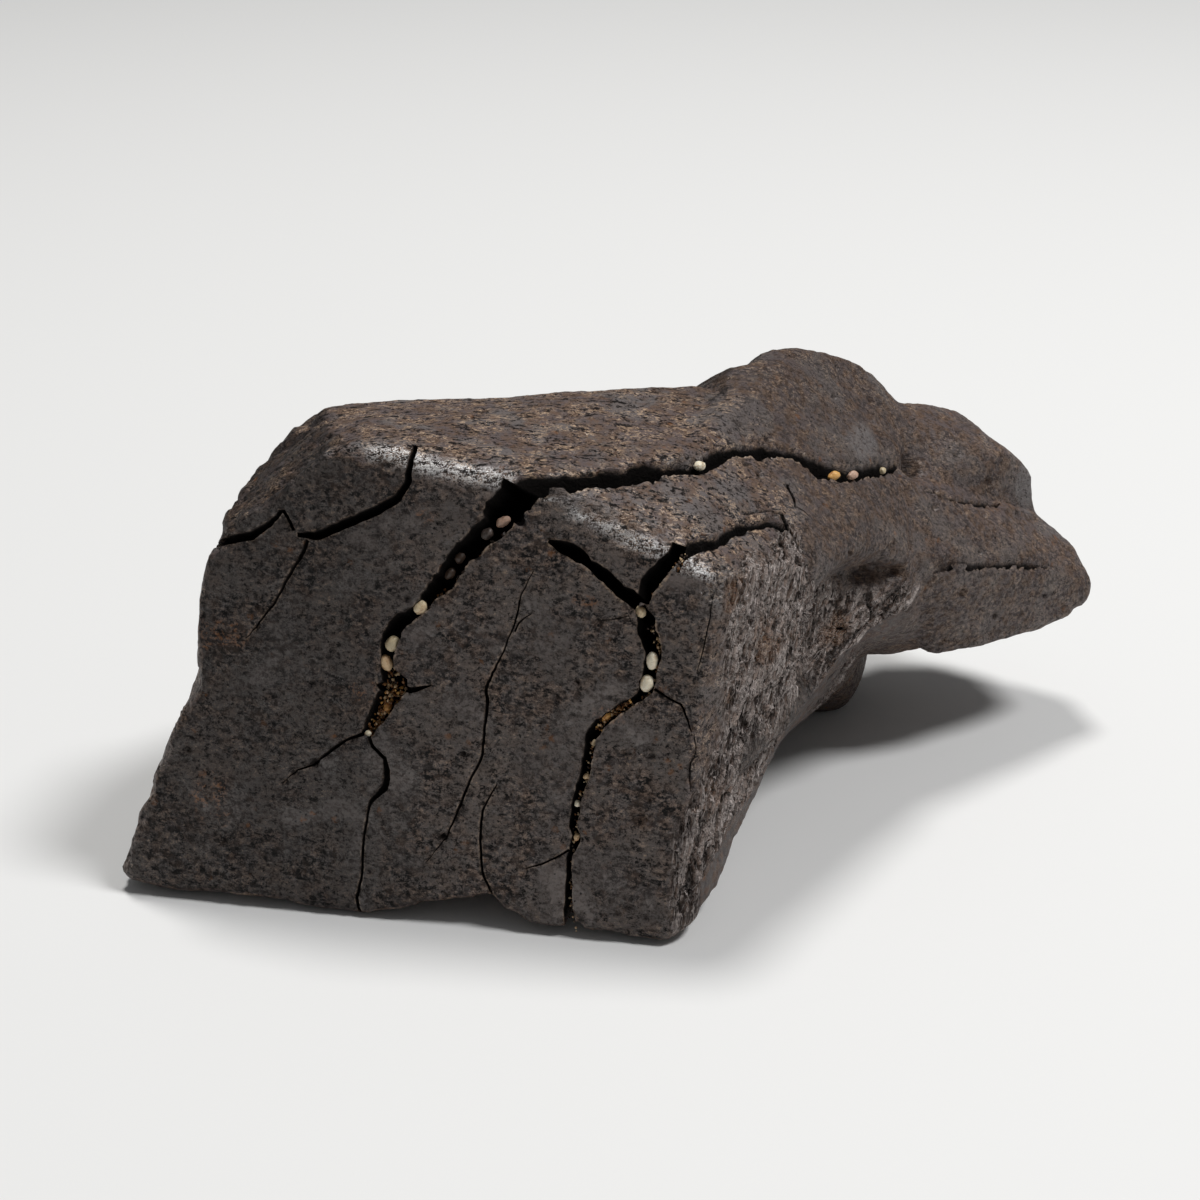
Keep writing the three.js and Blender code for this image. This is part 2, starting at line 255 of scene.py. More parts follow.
def applyModifier(thing, name, kind, **settings):
    modifier = thing.modifiers.new(name, kind)
    for key, value in settings.items():
        setattr(modifier, key, value)
    bpy.context.view_layer.objects.active = thing
    bpy.ops.object.modifier_apply(modifier=name)


def makePaths(name, lines):
    # lines as bare edges, for measuring how far a point is from them
    points, edges = [], []
    for line in lines:
        edges += [(len(points) + i, len(points) + i + 1) for i in range(len(line) - 1)]
        points += line
    return addMesh(name, points, edges)


def nearTo(tree, paths):
    # millimetres to the nearest of the lines
    lines = put(tree, "GeometryNodeObjectInfo", {"Object": paths}).outputs["Geometry"]
    near = put(tree, "GeometryNodeProximity", {0: lines}, target_element="EDGES").outputs[1]
    return times(tree, near, 1000.0)


def selectOnly(*things):
    bpy.ops.object.select_all(action="DESELECT")
    for thing in things:
        thing.select_set(True)
    bpy.context.view_layer.objects.active = things[0]


def keepBiggest(thing):
    # loose crumbs left by a cut are dropped
    selectOnly(thing)
    bpy.ops.mesh.separate(type="LOOSE")
    shells = sorted(bpy.context.selected_objects, key=lambda shell: -len(shell.data.vertices))
    for shell in shells[1:]:
        bpy.data.objects.remove(shell)
    return shells[0]


# the stone's blocks
blocks = {
    "body": [
        onFace(-32.6, 1.6), onFace(-31.6, 15), onFace(-31.3, 27), onFace(-30.4, 31), onFace(-28.6, 32.8),
        onFace(-19.5, 40.2), onFace(-16, 41.2), onFace(-5.3, 39.6), onFace(-1.2, 38.9), onFace(8, 1),
        onFace(-18, 0), (-21.8, -3.8, 40), (-8.9, -0.4, 39.9), (3.4, 5.2, 39.8), (8, 8, 39.4), (8, -7, 38.5),
        (12, -0.2, 37), (-32, -6, 28), (-33.4, -4, 14), (-32, -6, 4), (-30, -10, 0), (-28.4, 6, 24),
        (-27.4, 8, 8), (-20, 6, 0), (-13, 17, 26), (-14, 19, 12), (-6, 15, 0), (2, 24, 24), (2, 27, 10),
        (6, 22, 2),
    ],
    "shoulder": [
        onFace(-28.6, 33.2), onFace(-21, 34.6), onFace(-14, 38), onFace(-17.5, 40.9), (-29.7, -15.5, 33.2),
        (-28.7, -10.7, 34.7), (-26.4, -5.9, 37.6), (-24.6, -5.4, 39), (-23, -4.5, 40), (-29, -12, 28),
        (-26, 0, 36), (-14, -8, 40.4), (-12, -2, 36), (-14, -14, 30),
    ],
    "hump": [
        (8, -7, 38.3), (12, -0.2, 37), (16.6, 5.2, 35.3), (19.6, 6.4, 33.4), (24, 14.2, 30.9),
        (25.8, 17.4, 29.8), (10.8, 12.3, 40), (14, 15.7, 40.6), (15.7, 17.1, 40.5), (18.3, 20.6, 39),
        (20.5, 22.8, 37.4), (21.9, 25.4, 35.5), (24.4, 22.3, 33), (24.6, 25.4, 32.5), (20, 30, 30),
        (8, 24, 32), (2, 13, 34), (4, 27, 12), (20, 31, 10), (22, 12, 12), (18, 8, 10), (4, 2, 10),
    ],
    "frontPlate": [
        onFace(-2.2, 37.4), onFace(-1, 37.1), onFace(7, 33.7), onFace(13, 32.1), onFace(12.3, 26.5),
        onFace(11.2, 18), onFace(-6, 16), (0, -15.6, 38.2), (5.2, -11.6, 37.9), (8.6, -8.6, 37.4),
        (12.8, -1.8, 36), (17, 3.2, 34.5), (18.9, 4.2, 33.2), (21.8, 6.6, 31.5), (24.4, 12.4, 29.9), (26, 16, 28.9),
        (14.5, -13.2, 32.1), (16.7, -7.3, 31.7), (21.4, 4, 30.1), (23.7, 5.5, 28.6), (26.7, 8.4, 25.2),
        (24.2, 6, 17.3), (27.2, 8, 19.1), (28, 10.5, 20.1), (4, 4, 14),
    ],
    "wallMiddle": [
        onFace(11.3, 20), onFace(10.6, 12), (12.6, -18.6, 12), onFace(0, 12), (18.3, 0, 12.3), (21.6, 4.5, 15.8),
        (24.2, 6, 17.3), (27, 8.2, 19.2), (4, 4, 8), (8, 12, 14),
    ],
    "wallLower": [
        onFace(10.5, 13), onFace(9.9, 6), (12.7, -18.5, 12.6), (12.3, -18.4, 6), onFace(0, 6), (18.3, 0, 12.3),
        (16.3, -4, 8.9), (14.2, -9, 5), (4, 4, 6),
    ],
    "wallFoot": [
        onFace(10, 7), (12.4, -18.7, 7), onFace(10.2, 1.4), (12.4, -19.6, 1.8), onFace(9.3, 0), onFace(-8, 2.2),
        (13.2, -17, 2), (14.2, -9, 5), (6, -6, 4), (-4, -8, 6), onFace(-6, 10),
    ],
    "stripFront": [
        (13.1, -17, 2.1), (14.1, -9, 5.1), (13.4, -9, 1.8), (8, -16, 1), (8, -9, 1.5), (8, -9, 5),
    ],
    "stripMiddle": [
        (14.1, -9, 5.1), (16.2, -4, 9), (18.1, 0, 12.4), (13.4, -9, 1.8), (14.4, -2, 3.1), (16.3, 5, 5.3),
        (8, -9, 2), (8, 5, 4), (8, 0, 12),
    ],
    "stripBack": [
        (17.6, -0.6, 12), (21.4, 5, 15.9), (24, 8, 17.4), (15.9, 4, 5), (18.9, 13, 5.8), (20.8, 18, 5),
        (22.8, 22, 7), (8, 5, 6), (8, 18, 6), (12, 10, 14),
    ],
    "belly": [
        (23.2, 14, 11.2), (24, 18, 9.2), (26.3, 18, 9.3), (29.4, 18, 10.3), (27.2, 8.2, 19), (24.2, 7, 17.2),
        (28, 10.5, 20), (20, 20, 9), (20, 14, 14), (30, 24, 14),
    ],
    "tailRoot": [
        (24.4, 22.3, 33), (24.6, 25.4, 32.5), (27.7, 28.4, 31.5), (30.6, 31, 30), (33.2, 27.6, 28.5),
        (35.5, 27.9, 27), (37.8, 29.9, 25), (38.6, 29.6, 19), (25.7, 20.4, 30.5), (27.9, 18.7, 27.6),
        (29.5, 19.4, 24.8), (35.2, 27, 22), (23, 35, 26), (32, 37, 21), (36, 35.5, 15), (28, 38, 12.5),
        (18, 36, 12), (20, 20, 14), (30, 20, 13),
    ],
    "tailTip": [
        (25.8, 15.6, 29.3), (27.9, 17.8, 27), (29.5, 18.6, 24.3), (35.2, 26.8, 21.2), (38.6, 30, 20),
        (40.2, 30.1, 19), (42.5, 28.9, 17.5), (44.7, 26.5, 14.4), (44.6, 26.4, 12.6), (41.4, 23.9, 16.8),
        (35.6, 18.3, 18.6), (30, 12.2, 20.5), (28.2, 10.4, 22.8), (40.1, 22.7, 11), (34, 16.5, 11.5),
        (29.5, 14, 11.5), (42, 33, 13.5), (36, 35.5, 12), (26, 32, 8.6), (22, 26, 20),
        (19.5, 11, 22),
    ],
    "leftFoot": [
        onFace(-38.2, 1.6), onFace(-36.3, 8.4), onFace(-33.5, 14.6), onFace(-32.2, 18.4), onFace(-26, 1),
        (-39.4, -20.6, 1.4), (-37.6, -20.4, 6.3), (-35.4, -20, 11.3), (-33.2, -19.4, 16), (-32.1, -18, 19.5),
        (-38.6, -20.2, 0), (-36.6, -21.6, 0), (-38, -14, 1.4), (-36.4, -11, 7), (-33.6, -8, 14),
        (-31.6, -9, 19), (-34, -9, 0), (-24, -14, 0),
    ],
    "rearFoot": [
        (20.8, 18, 5), (22.8, 22, 7), (22.7, 24, 3.2), (21.9, 21, 2.7), (22.6, 30, 3), (14, 36, 3),
        (20.6, 23, 0), (21.6, 27, 0), (18, 33, 0), (9, 32, 0), (7, 24, 0), (13, 20, 0.6), (21.4, 19, 10),
        (23, 33, 14), (8, 35, 14), (6, 20, 12),
    ],
}
hollows = [
    ((14, 3, -10), (24, 20, 15.2)),       # arch between the front edge and the rear foot
    ((48, -4, 20), (31, 17, 15)),         # scoop of the right wall
    ((21.7, 3.2, 23.8), (1.7, 1.9, 1.1)),  # smooth pocket under the plate's right edge
    ((23.7, 5.4, 23.2), (2.2, 2.6, 1.3)),
    ((25.9, 7.2, 22.5), (1.7, 1.9, 1.1)),
    ((-26, 38.6, 20.4), (26, 26, 26)),    # shallow dishes of the back and the left side
    ((8, 46.5, 22.8), (20, 20, 20)),
    ((-47, -1, 18), (16, 16, 16)),
]
underEdge = [  # across and height of the front's lower edge
    (-42, 0.9), (-38.1, 0.7), (-34.4, 0.35), (-31.5, 0.5), (-29.5, 0.2), (-27, 0.1), (-25.4, 0.3), (-23.5, -0.1),
    (-18.1, -0.1), (-16.9, 0.1), (-16.2, 0.5), (-14.9, 0.8), (-13.2, 1.1), (-11.8, 1.6), (-10.2, 1.8),
    (-8.7, 2.3), (-7.2, 2.5), (-5.7, 3.1), (-4.9, 2.9), (-4.5, 1.9), (-3, 1.2), (-1.3, 0.7), (0.5, 0.8),
    (1.4, 1.6), (2.1, 1.5), (2.5, 0.6), (3.4, 0.2), (5.3, -0.1), (7.6, -0.1), (9.6, 0.2), (11.3, 0.8), (12.5, 2.0),
    (15, 4.5),
]
underRows = [(-30, 1.0), (-22.6, 1.0), (-18, 0.8), (-10, 0.15)]  # y and the share of that height left there
stoneMaking = {
    "firstVoxel": 0.0005,    # metres, while the blocks are joined
    "rounding": 3,
    "fineVoxel": 0.00026,    # metres, for the relief
    "triangles": 192000,
    "smoothUnder": 50,       # degrees between faces that shade as one
}


def makeBlock(name, corners):
    block = addMesh(name, corners)
    selectOnly(block)
    bpy.ops.object.mode_set(mode="EDIT")
    bpy.ops.mesh.select_all(action="SELECT")
    bpy.ops.mesh.convex_hull()
    bpy.ops.mesh.normals_make_consistent(inside=False)
    bpy.ops.object.mode_set(mode="OBJECT")
    return block


def makeHollow(middle, radii):
    bpy.ops.mesh.primitive_uv_sphere_add(segments=96, ring_count=64, radius=1, location=place(middle))
    hollow = bpy.context.object
    hollow.scale = Vector(radii) / 1000
    bpy.ops.object.transform_apply(location=True, rotation=True, scale=True)
    return hollow


def makeGroundCutter():
    bpy.ops.mesh.primitive_cube_add(size=1, location=(0, 0, -0.005))
    block = bpy.context.object
    block.scale = (0.2, 0.2, 0.01)
    bpy.ops.object.transform_apply(location=True, rotation=True, scale=True)
    return block


def makeUnderCutter():
    # what is missing below the front's lower edge, running back to nothing under the stone
    below = -4
    points, faces = [], []
    for y, share in underRows:
        points += [(x, y, z * share) for x, z in underEdge]
        points += [(x, y, below) for x, z in underEdge]
    across = len(underEdge)
    for row in range(len(underRows) - 1):
        for i in range(across - 1):
            for side in (0, across):
                start = row * 2 * across + side + i
                faces.append((start, start + 1, start + 1 + 2 * across, start + 2 * across))
        for i in (0, across - 1):
            start = row * 2 * across + i
            faces.append((start, start + across, start + 3 * across, start + 2 * across))
    for row in (0, len(underRows) - 1):
        for i in range(across - 1):
            start = row * 2 * across + i
            faces.append((start, start + 1, start + 1 + across, start + across))
    cutter = addMesh("under_edge", points, faces=faces)
    faceOutwards(cutter)
    return cutter


def faceOutwards(thing):
    selectOnly(thing)
    bpy.ops.object.mode_set(mode="EDIT")
    bpy.ops.mesh.select_all(action="SELECT")
    bpy.ops.mesh.normals_make_consistent(inside=False)
    bpy.ops.object.mode_set(mode="OBJECT")


def cutAway(stone, cutter):
    applyModifier(stone, "cut", "BOOLEAN", operation="DIFFERENCE", solver="MANIFOLD", object=cutter)
    bpy.data.objects.remove(cutter)


brows = [  # worn front edges of the top: across and height
    [(-15.7, 41), (-12.8, 40.3), (-10, 40.1), (-7.5, 39.7), (-5, 39.4)],
    [(-2.3, 37.4), (-0.6, 36.8), (1, 36.1), (3, 35.4), (6.3, 34.4), (8, 33.8)],
    [(9.6, 33.2), (11.3, 32.7), (13.1, 32.1)],
]
browMaking = {"reach": 2.6, "strength": 26}


def softenAlong(stone, name, paths, reach, strength):
    # evens out the surface within reach of the lines
    tree, geometry, end, position, _ = newShapeTree(name)
    blur = put(tree, "GeometryNodeBlurAttribute", {"Iterations": strength}, data_type="FLOAT_VECTOR")
    tree.links.new(position, next(socket for socket in blur.inputs if socket.name == "Value" and socket.enabled))
    even = next(socket for socket in blur.outputs if socket.enabled)
    way = vectorCalc(tree, "SUBTRACT", even, position)
    movePoints(tree, geometry, end, way, ramp(tree, nearTo(tree, paths), reach * 0.4, reach, 1, 0))
    applyModifier(stone, name, "NODES", node_group=tree)


def makeBase():
    made = [makeBlock(name, corners) for name, corners in blocks.items()]
    selectOnly(*made)
    bpy.ops.object.join()
    stone = bpy.context.object
    applyModifier(stone, "join", "REMESH", mode="VOXEL", voxel_size=stoneMaking["firstVoxel"])
    stone = keepBiggest(stone)
    for middle, radii in hollows:
        cutAway(stone, makeHollow(middle, radii))
    cutAway(stone, makeUnderCutter())
    applyModifier(stone, "even", "REMESH", mode="VOXEL", voxel_size=stoneMaking["firstVoxel"])
    applyModifier(stone, "round", "SMOOTH", factor=0.5, iterations=stoneMaking["rounding"])
    softenAlong(stone, "worn brows", browPaths, browMaking["reach"], browMaking["strength"])
    return stone


browPaths = makePaths("brow_lines", [[onFace(*point) for point in line] for line in brows])
stone = makeBase()
stone.name = "cracked_stone"
report("base stone")


# cracks
# an open crack on the front is two lips, each across and height; a plain one is a middle line with its width
frontCracks = {
    "main_crack": {
        "lips": (
            [(-5.3, 39.3), (-5.5, 38.8), (-6.3, 37.3), (-7.1, 35.6), (-8.3, 34.3), (-9.6, 32.9), (-10.2, 31.5),
             (-11.1, 30.3), (-11.9, 28.9), (-12.5, 28), (-13.8, 27.3), (-14.7, 26.3), (-15.1, 25.3), (-15.2, 24.5),
             (-15.3, 23.6), (-15.6, 22.5), (-15.7, 21.5), (-15.5, 20.4), (-16.1, 19.1), (-16.5, 17.9), (-16.9, 16.7)],
            [(-1.9, 38.4), (-2.2, 37.6), (-3.4, 36.7), (-4.2, 35.4), (-5.6, 34.2), (-6.6, 33.2), (-7.9, 32.2),
             (-8.3, 31.3), (-9.2, 29.9), (-10.5, 29), (-11.1, 28.1), (-11.9, 27.4), (-12.9, 26.5), (-13.6, 25.6),
             (-13.8, 24.7), (-14.3, 23.3), (-14.2, 22), (-13.5, 21.4), (-12.7, 20.9), (-13.6, 20.1), (-14.1, 19.3),
             (-14.7, 18.4), (-15.4, 17.4), (-16.2, 16.3)],
        ),
        "depth": 7.5, "floor": 0.45,
    },
    "main_crack_notch": {
        "line": [(-14, 21.2, 0.5), (-12.6, 20.8, 0.55), (-10.9, 21.4, 0.1)],
        "depth": 2, "floor": 0.4,
    },
    "second_crack": {
        "lips": (
            [(6.1, 29.6), (6.2, 28.5), (6.5, 27.1), (6.8, 26.3), (7, 25.7), (7, 24.4), (6.7, 23.3), (6.4, 22.2),
             (5.8, 21.5), (4.9, 21.1), (4.3, 20.5), (3.4, 19.7), (2.8, 19.2), (2.3, 18.3), (2.2, 17), (2.1, 15.9),
             (1.8, 14.4), (1.4, 12.9), (1.2, 11.5), (1, 10), (1.4, 9.3), (1.1, 8), (0.9, 7), (1, 5.5), (0.9, 3.9),
             (0.8, 2), (1, 0.1), (1, -2)],
            [(6.9, 29.6), (7.7, 28.5), (7.9, 27.5), (8.3, 26.3), (8.3, 24.9), (8, 24.1), (8, 22.8), (7.2, 21.9),
             (6.3, 21.1), (5.4, 20.5), (4.5, 19.7), (3.9, 19), (3.3, 18.2), (3, 17.2), (2.9, 16.3), (2.7, 15.1),
             (2.4, 13.7), (2, 12.4), (1.9, 11.2), (1.6, 10.1), (2.1, 9.1), (2, 8.5), (1.4, 7.5), (1.3, 6.2),
             (1.5, 4.8), (1.4, 3.6), (1.6, 2.1), (1.9, 1.3), (2.3, 0), (2.4, -2)],
        ),
        "depth": 5.2, "floor": 0.45,
    },
    "second_crack_left": {
        "lips": (
            [(-1.2, 34.6), (0.4, 34.6), (1.8, 33.9), (2.1, 33.2), (3.5, 32.7), (4.6, 31.6), (5.6, 30.9), (6.7, 30.6)],
            [(-1.2, 34.3), (-0.3, 33.6), (0.9, 33), (2.1, 32.4), (3.2, 31.5), (4.2, 30.6), (4.9, 30), (6.3, 29.1)],
        ),
        "depth": 5.2, "floor": 0.4,
    },
    "second_crack_right": {
        "lips": (
            [(6.3, 30.2), (6.5, 31.7), (7.2, 32.7), (8, 33.7), (8.4, 34.4), (8.6, 35.3)],
            [(7.1, 29.5), (7.5, 30.6), (8.2, 31.6), (8.9, 32.6), (9.5, 33.5), (9.7, 34.3), (9.9, 35.1)],
        ),
        "depth": 5.0, "floor": 0.4,
    },
    "shoulder_crack": {
        "line": [(-12.8, 42, 0.55), (-13, 38.6, 0.55), (-14, 37, 0.75), (-15.6, 36, 0.85), (-18.3, 34.7, 0.85),
                 (-20.8, 33.5, 0.85), (-22.4, 33.5, 0.35)],
        "depth": 5.0, "floor": 0.4,
    },
    "shoulder_gap": {
        "line": [(-22.7, 33.8, 0.25), (-23.6, 35.6, 0.5), (-24.8, 34.2, 0.5), (-26.4, 33.1, 0.8), (-28.4, 32.6, 0.8),
                 (-31.5, 32.1, 0.9)],
        "depth": 4.5, "floor": 0.4,
    },
}
topCracks = {  # two lips, each x, y and height
    "top_crack": {
        "lips": (
            [(-5.8, -17.9, 39.2), (-5.1, -16.6, 39.1), (-4.4, -16, 39.2), (-1.7, -15.4, 39.2), (0.8, -13.6, 39),
             (2.2, -12.4, 38.7), (3.5, -11.7, 38.6), (5.1, -9.9, 38.4), (6.5, -9.1, 38.2), (7.5, -7.9, 38.2),
             (8.8, -6.5, 38), (9.5, -5.4, 38), (9.8, -4.4, 38.1), (10.2, -3.3, 38.1), (11, -2, 37.7),
             (12.4, -0.4, 37.2), (13.5, 1.4, 37), (14.3, 2.1, 36.5), (15.5, 3.2, 35.8), (16.7, 4.6, 35.2),
             (18.4, 5.7, 34), (19.4, 6.4, 33.2), (20.6, 7.9, 32.6), (21.6, 9.5, 32.1), (22.7, 11.5, 31.4),
             (23.8, 13.8, 31), (24.7, 15.3, 30.4), (25.9, 17.2, 29.6)],
            [(-3.6, -17, 37.5), (-2.2, -16.6, 37.8), (-0.9, -16.2, 38), (0.7, -15.5, 38.2), (1.8, -14.6, 38.4),
             (2.9, -13.9, 38.3), (4.4, -12.8, 38.2), (6.2, -11.4, 38), (7.3, -9.8, 37.8), (8.3, -8.5, 37.6),
             (9.3, -7.6, 37.4), (10.4, -6.3, 37.2), (10.9, -4.7, 37.1), (11.4, -3.6, 37), (12.1, -1.9, 36.7),
             (13.1, -0.9, 36.5), (14.1, 0.1, 36), (15.6, 2.1, 35.4), (16.4, 3.1, 35), (17.2, 3.7, 34.4),
             (18.1, 4, 33.8), (19.2, 3.9, 33), (20.7, 5.4, 32.2), (21.6, 7, 31.7), (22.7, 9.2, 31.2),
             (23.7, 11.3, 30.6), (24.6, 13.4, 30.2), (25.8, 16.8, 29.5)],
        ),
        "depth": 5.5, "floor": 0.7, "start": 0.35,
    },
    "plate_crack": {
        "lips": (
            [(9, -17.8, 34.2), (9.6, -16.4, 34.5), (10.1, -15.1, 34.8), (11, -13.7, 34.9), (11.9, -13, 34.6),
             (12.5, -11.5, 34.4), (12.9, -10.3, 34.3), (13.6, -9, 34.1), (14.2, -8.1, 33.9), (15.7, -6.2, 33.3),
             (16.6, -5.4, 32.8), (17.3, -5.4, 32.3)],
            [(9.4, -18.4, 33.8), (9.9, -17, 34.1), (11, -16.1, 34.1), (11.8, -15.1, 33.9), (12.2, -14.3, 33.8),
             (12.9, -12.7, 33.6), (13.5, -11.3, 33.5), (14.2, -9.8, 33.4), (15, -8.4, 33.3), (16.2, -6.8, 32.7),
             (16.8, -6.4, 32.3), (17.4, -6.2, 32.1)],
        ),
        "depth": 2.8, "floor": 0.6, "start": 0.5,
    },
}
hairlines = [  # fine cracks of the front: across, height, width
    [(-16.5, 16.8, 0.5), (-18.2, 16.0, 0.32), (-19, 15.4, 0.38), (-21.2, 13.5, 0.3), (-22.6, 12.9, 0.2),
     (-24, 11.6, 0.1)],
    [(-16.4, 16.8, 0.45), (-16, 15.6, 0.35), (-14.9, 14.6, 0.4), (-14.7, 13.2, 0.75), (-14.9, 12, 0.85),
     (-16.2, 10.6, 0.4), (-16.6, 8.6, 0.28), (-16.9, 6, 0.3), (-17, 3.6, 0.3), (-17.5, 1.6, 0.4), (-16.9, -0.5, 0.3)],
    [(-2.4, 31.9, 0.1), (-3.5, 29.5, 0.2), (-3.6, 28.7, 0.25), (-4, 26.9, 0.2), (-4.5, 25.8, 0.2), (-4.8, 24.8, 0.2),
     (-5.5, 23.4, 0.25), (-6.3, 21.4, 0.4), (-6.1, 20.3, 0.4), (-6.3, 18.1, 0.3), (-6.5, 15.5, 0.28),
     (-7.5, 13.4, 0.3), (-8.5, 10.6, 0.28), (-9.6, 8, 0.2), (-11.4, 5.4, 0.08)],
    [(-2.5, 28.3, 0.1), (-3.6, 27.4, 0.25), (-3.9, 26.6, 0.2)],
    [(-5.2, 13.2, 0.15), (-6.4, 10.8, 0.28), (-6.6, 8.6, 0.28), (-6.4, 5, 0.3), (-5.4, 3, 0.35), (-4.9, 0.6, 0.5),
     (-4.7, -1.4, 0.5)],
    [(-21.5, 33.1, 0.5), (-22.4, 31.2, 0.4), (-23.4, 29.6, 0.35), (-24.4, 27.6, 0.3), (-26, 25.4, 0.2),
     (-27, 24.2, 0.08)],
    [(7.9, 22.7, 0.4), (8.8, 22.1, 0.3), (10.2, 21.5, 0.25), (10.6, 20.6, 0.25), (11.1, 19.2, 0.15)],
    [(11.3, 19, 0.15), (11.5, 17.6, 0.45), (11, 16.2, 0.35), (11.2, 14, 0.15)],
    [(1.1, 7.9, 0.3), (-0.1, 7, 0.22), (-1.4, 6.3, 0.25), (-2.7, 5.8, 0.08)],
    [(3.2, 28.1, 0.08), (4.4, 28.3, 0.15), (5.6, 28.7, 0.1)],
    [(12.4, 31.2, 0.08), (12.2, 28.8, 0.14), (11.8, 26.3, 0.14), (11.4, 24.4, 0.08)],
]
topHairlines = [  # fine cracks of the top: x, y, height, width
    [(13.6, -7.9, 34.2, 0.3), (14.6, -6.4, 34, 0.5), (15.7, -5, 33.6, 0.4), (16.5, -4.6, 33.1, 0.5),
     (17.1, -5, 32.4, 0.5), (17.5, -6, 31.8, 0.4), (18.3, -6.1, 30.7, 0.4),
     (18.9, -5.6, 30, 0.35), (19.8, -5, 29.4, 0.1)],
    [(16.5, -0.5, 34.3, 0.4), (17.3, -1.6, 33.6, 0.4), (17.5, -2.6, 33.2, 0.2)],
    [(17.4, -2.4, 33.3, 0.35), (18.6, -2.2, 32.8, 0.35), (19.9, -2.3, 32.0, 0.3), (21.6, -2.0, 31.2, 0.2),
     (24, -1.8, 30.0, 0.08)],
    [(28, 16.6, 27.4, 0.1), (29.6, 18, 26.4, 0.4), (31.3, 19.6, 25.3, 0.35), (33.2, 22, 24, 0.55),
     (35.1, 24.8, 22.6, 0.2)],
    [(28.7, 11, 21.8, 0.15), (31.5, 14, 20.6, 0.3), (34.6, 17.1, 19.6, 0.3), (37.8, 20.5, 18.4, 0.35),
     (40.6, 23.5, 17.2, 0.1)],
]
crackMaking = {
    "step": 0.45,         # millimetres between stations along a crack
    "jag": 0.10,          # how far a station wanders
    "lead": 3.5,          # how far a cutter stands out of the stone
    "dive": Vector((0.03, 1.0, -0.62)),
    "lip": 0.10,          # widening at the surface
    "shallowFor": 4,      # millimetres in which a shallow start reaches the full depth
    "thinnest": 0.012,    # half the least width
    "fine": 0.7,          # share of a hairline's width
    "fineDepth": 0.7,
    "fineTopDepth": 0.9,
    "fineFloor": 0.35,    # share of the width left at a hairline's floor
    "seed": 5,
}


def evenly(points, count):
    # count points at equal steps along a line of points
    lengths = [0.0]
    for before, after in zip(points, points[1:]):
        lengths.append(lengths[-1] + (after - before).length)
    found = []
    segment = 0
    for i in range(count):
        wanted = lengths[-1] * i / (count - 1)
        while segment < len(points) - 2 and lengths[segment + 1] < wanted:
            segment += 1
        part = (wanted - lengths[segment]) / max(lengths[segment + 1] - lengths[segment], 1e-9)
        found.append(points[segment].lerp(points[segment + 1], min(max(part, 0.0), 1.0)))
    return found


def lipsOf(line, up):
    # both sides of a middle line whose points end with the width there
    points = [Vector(point[:-1]) for point in line]
    one, other = [], []
    for i, point in enumerate(points):
        along = points[min(i + 1, len(points) - 1)] - points[max(i - 1, 0)]
        side = along.cross(up).normalized() * line[i][-1] / 2
        one.append(point + side)
        other.append(point - side)
    return one, other


def makeCutter(name, oneLip, otherLip, inward, depth, floor, chance, start=1.0, lit=False):
    # a wedge between two lips, ragged along its length, that narrows to floor times its width; where start is less
    # than 1 it begins shallow, and lit says that its second lip catches the light
    length = sum((b - a).length for a, b in zip(oneLip, oneLip[1:]))
    count = max(6, int(length / crackMaking["step"]))
    one, other = evenly(oneLip, count), evenly(otherLip, count)
    inward = inward.normalized()
    points, faces = [], []
    for i in range(count):
        reached = start + (1 - start) * min(1.0, length * i / (count - 1) / crackMaking["shallowFor"])
        # how far in each level lies, its share of the width, and how much the lip widens it
        levels = [(-crackMaking["lead"], 1.0, 1.0), (-0.15, 1.0, 2 / 3), (0.3 * reached, 1.0, 0.0),
                  (depth * reached * 0.45, 0.82, 0.0), (depth * reached, floor, 0.0)]
        middle = (one[i] + other[i]) / 2
        half = (one[i] - other[i]) / 2
        after, before = min(i + 1, count - 1), max(i - 1, 0)
        along = (one[after] + other[after]) - (one[before] + other[before])
        across = along.cross(inward).normalized()
        if across.dot(half) < 0:
            across = -across
        wide = across.dot(half)
        jag = crackMaking["jag"] * min(1.0, 0.25 + wide)
        sway = chance.uniform(-1, 1) * jag
        ripple = chance.uniform(-1, 1) * jag * 0.6, chance.uniform(-1, 1) * jag * 0.6
        for level, share, widen in levels:
            shift = chance.uniform(-1, 1) * jag * 0.5 if level > 1 else 0.0
            centre = middle + inward * level + across * (sway + shift)
            reach = wide * share + min(crackMaking["lip"], wide * 0.5) * widen
            reach = max(reach, crackMaking["thinnest"])
            points.append(centre + across * (reach + ripple[0] * min(1, wide)))
            points.append(centre - across * (reach + ripple[1] * min(1, wide)))
    rows = len(levels)

    def at(i, level, side):
        return (i * rows + level) * 2 + side

    for i in range(count - 1):
        for level in range(rows - 1):
            faces.append((at(i, level, 0), at(i + 1, level, 0), at(i + 1, level + 1, 0), at(i, level + 1, 0)))
            faces.append((at(i, level, 1), at(i, level + 1, 1), at(i + 1, level + 1, 1), at(i + 1, level, 1)))
        faces.append((at(i, 0, 0), at(i, 0, 1), at(i + 1, 0, 1), at(i + 1, 0, 0)))
        faces.append((at(i, rows - 1, 0), at(i + 1, rows - 1, 0), at(i + 1, rows - 1, 1), at(i, rows - 1, 1)))
    for end in (0, count - 1):
        for level in range(rows - 1):
            ring = (at(end, level, 0), at(end, level + 1, 0), at(end, level + 1, 1), at(end, level, 1))
            faces.append(ring if end == 0 else ring[::-1])
    cutter = addMesh(name, points, faces=faces)
    faceOutwards(cutter)
    crackLips.extend((one, other))
    if lit:
        litLips.append(other)
    return cutter


crackLips, litLips = [], []  # both lips of every crack, and the ones that catch the light


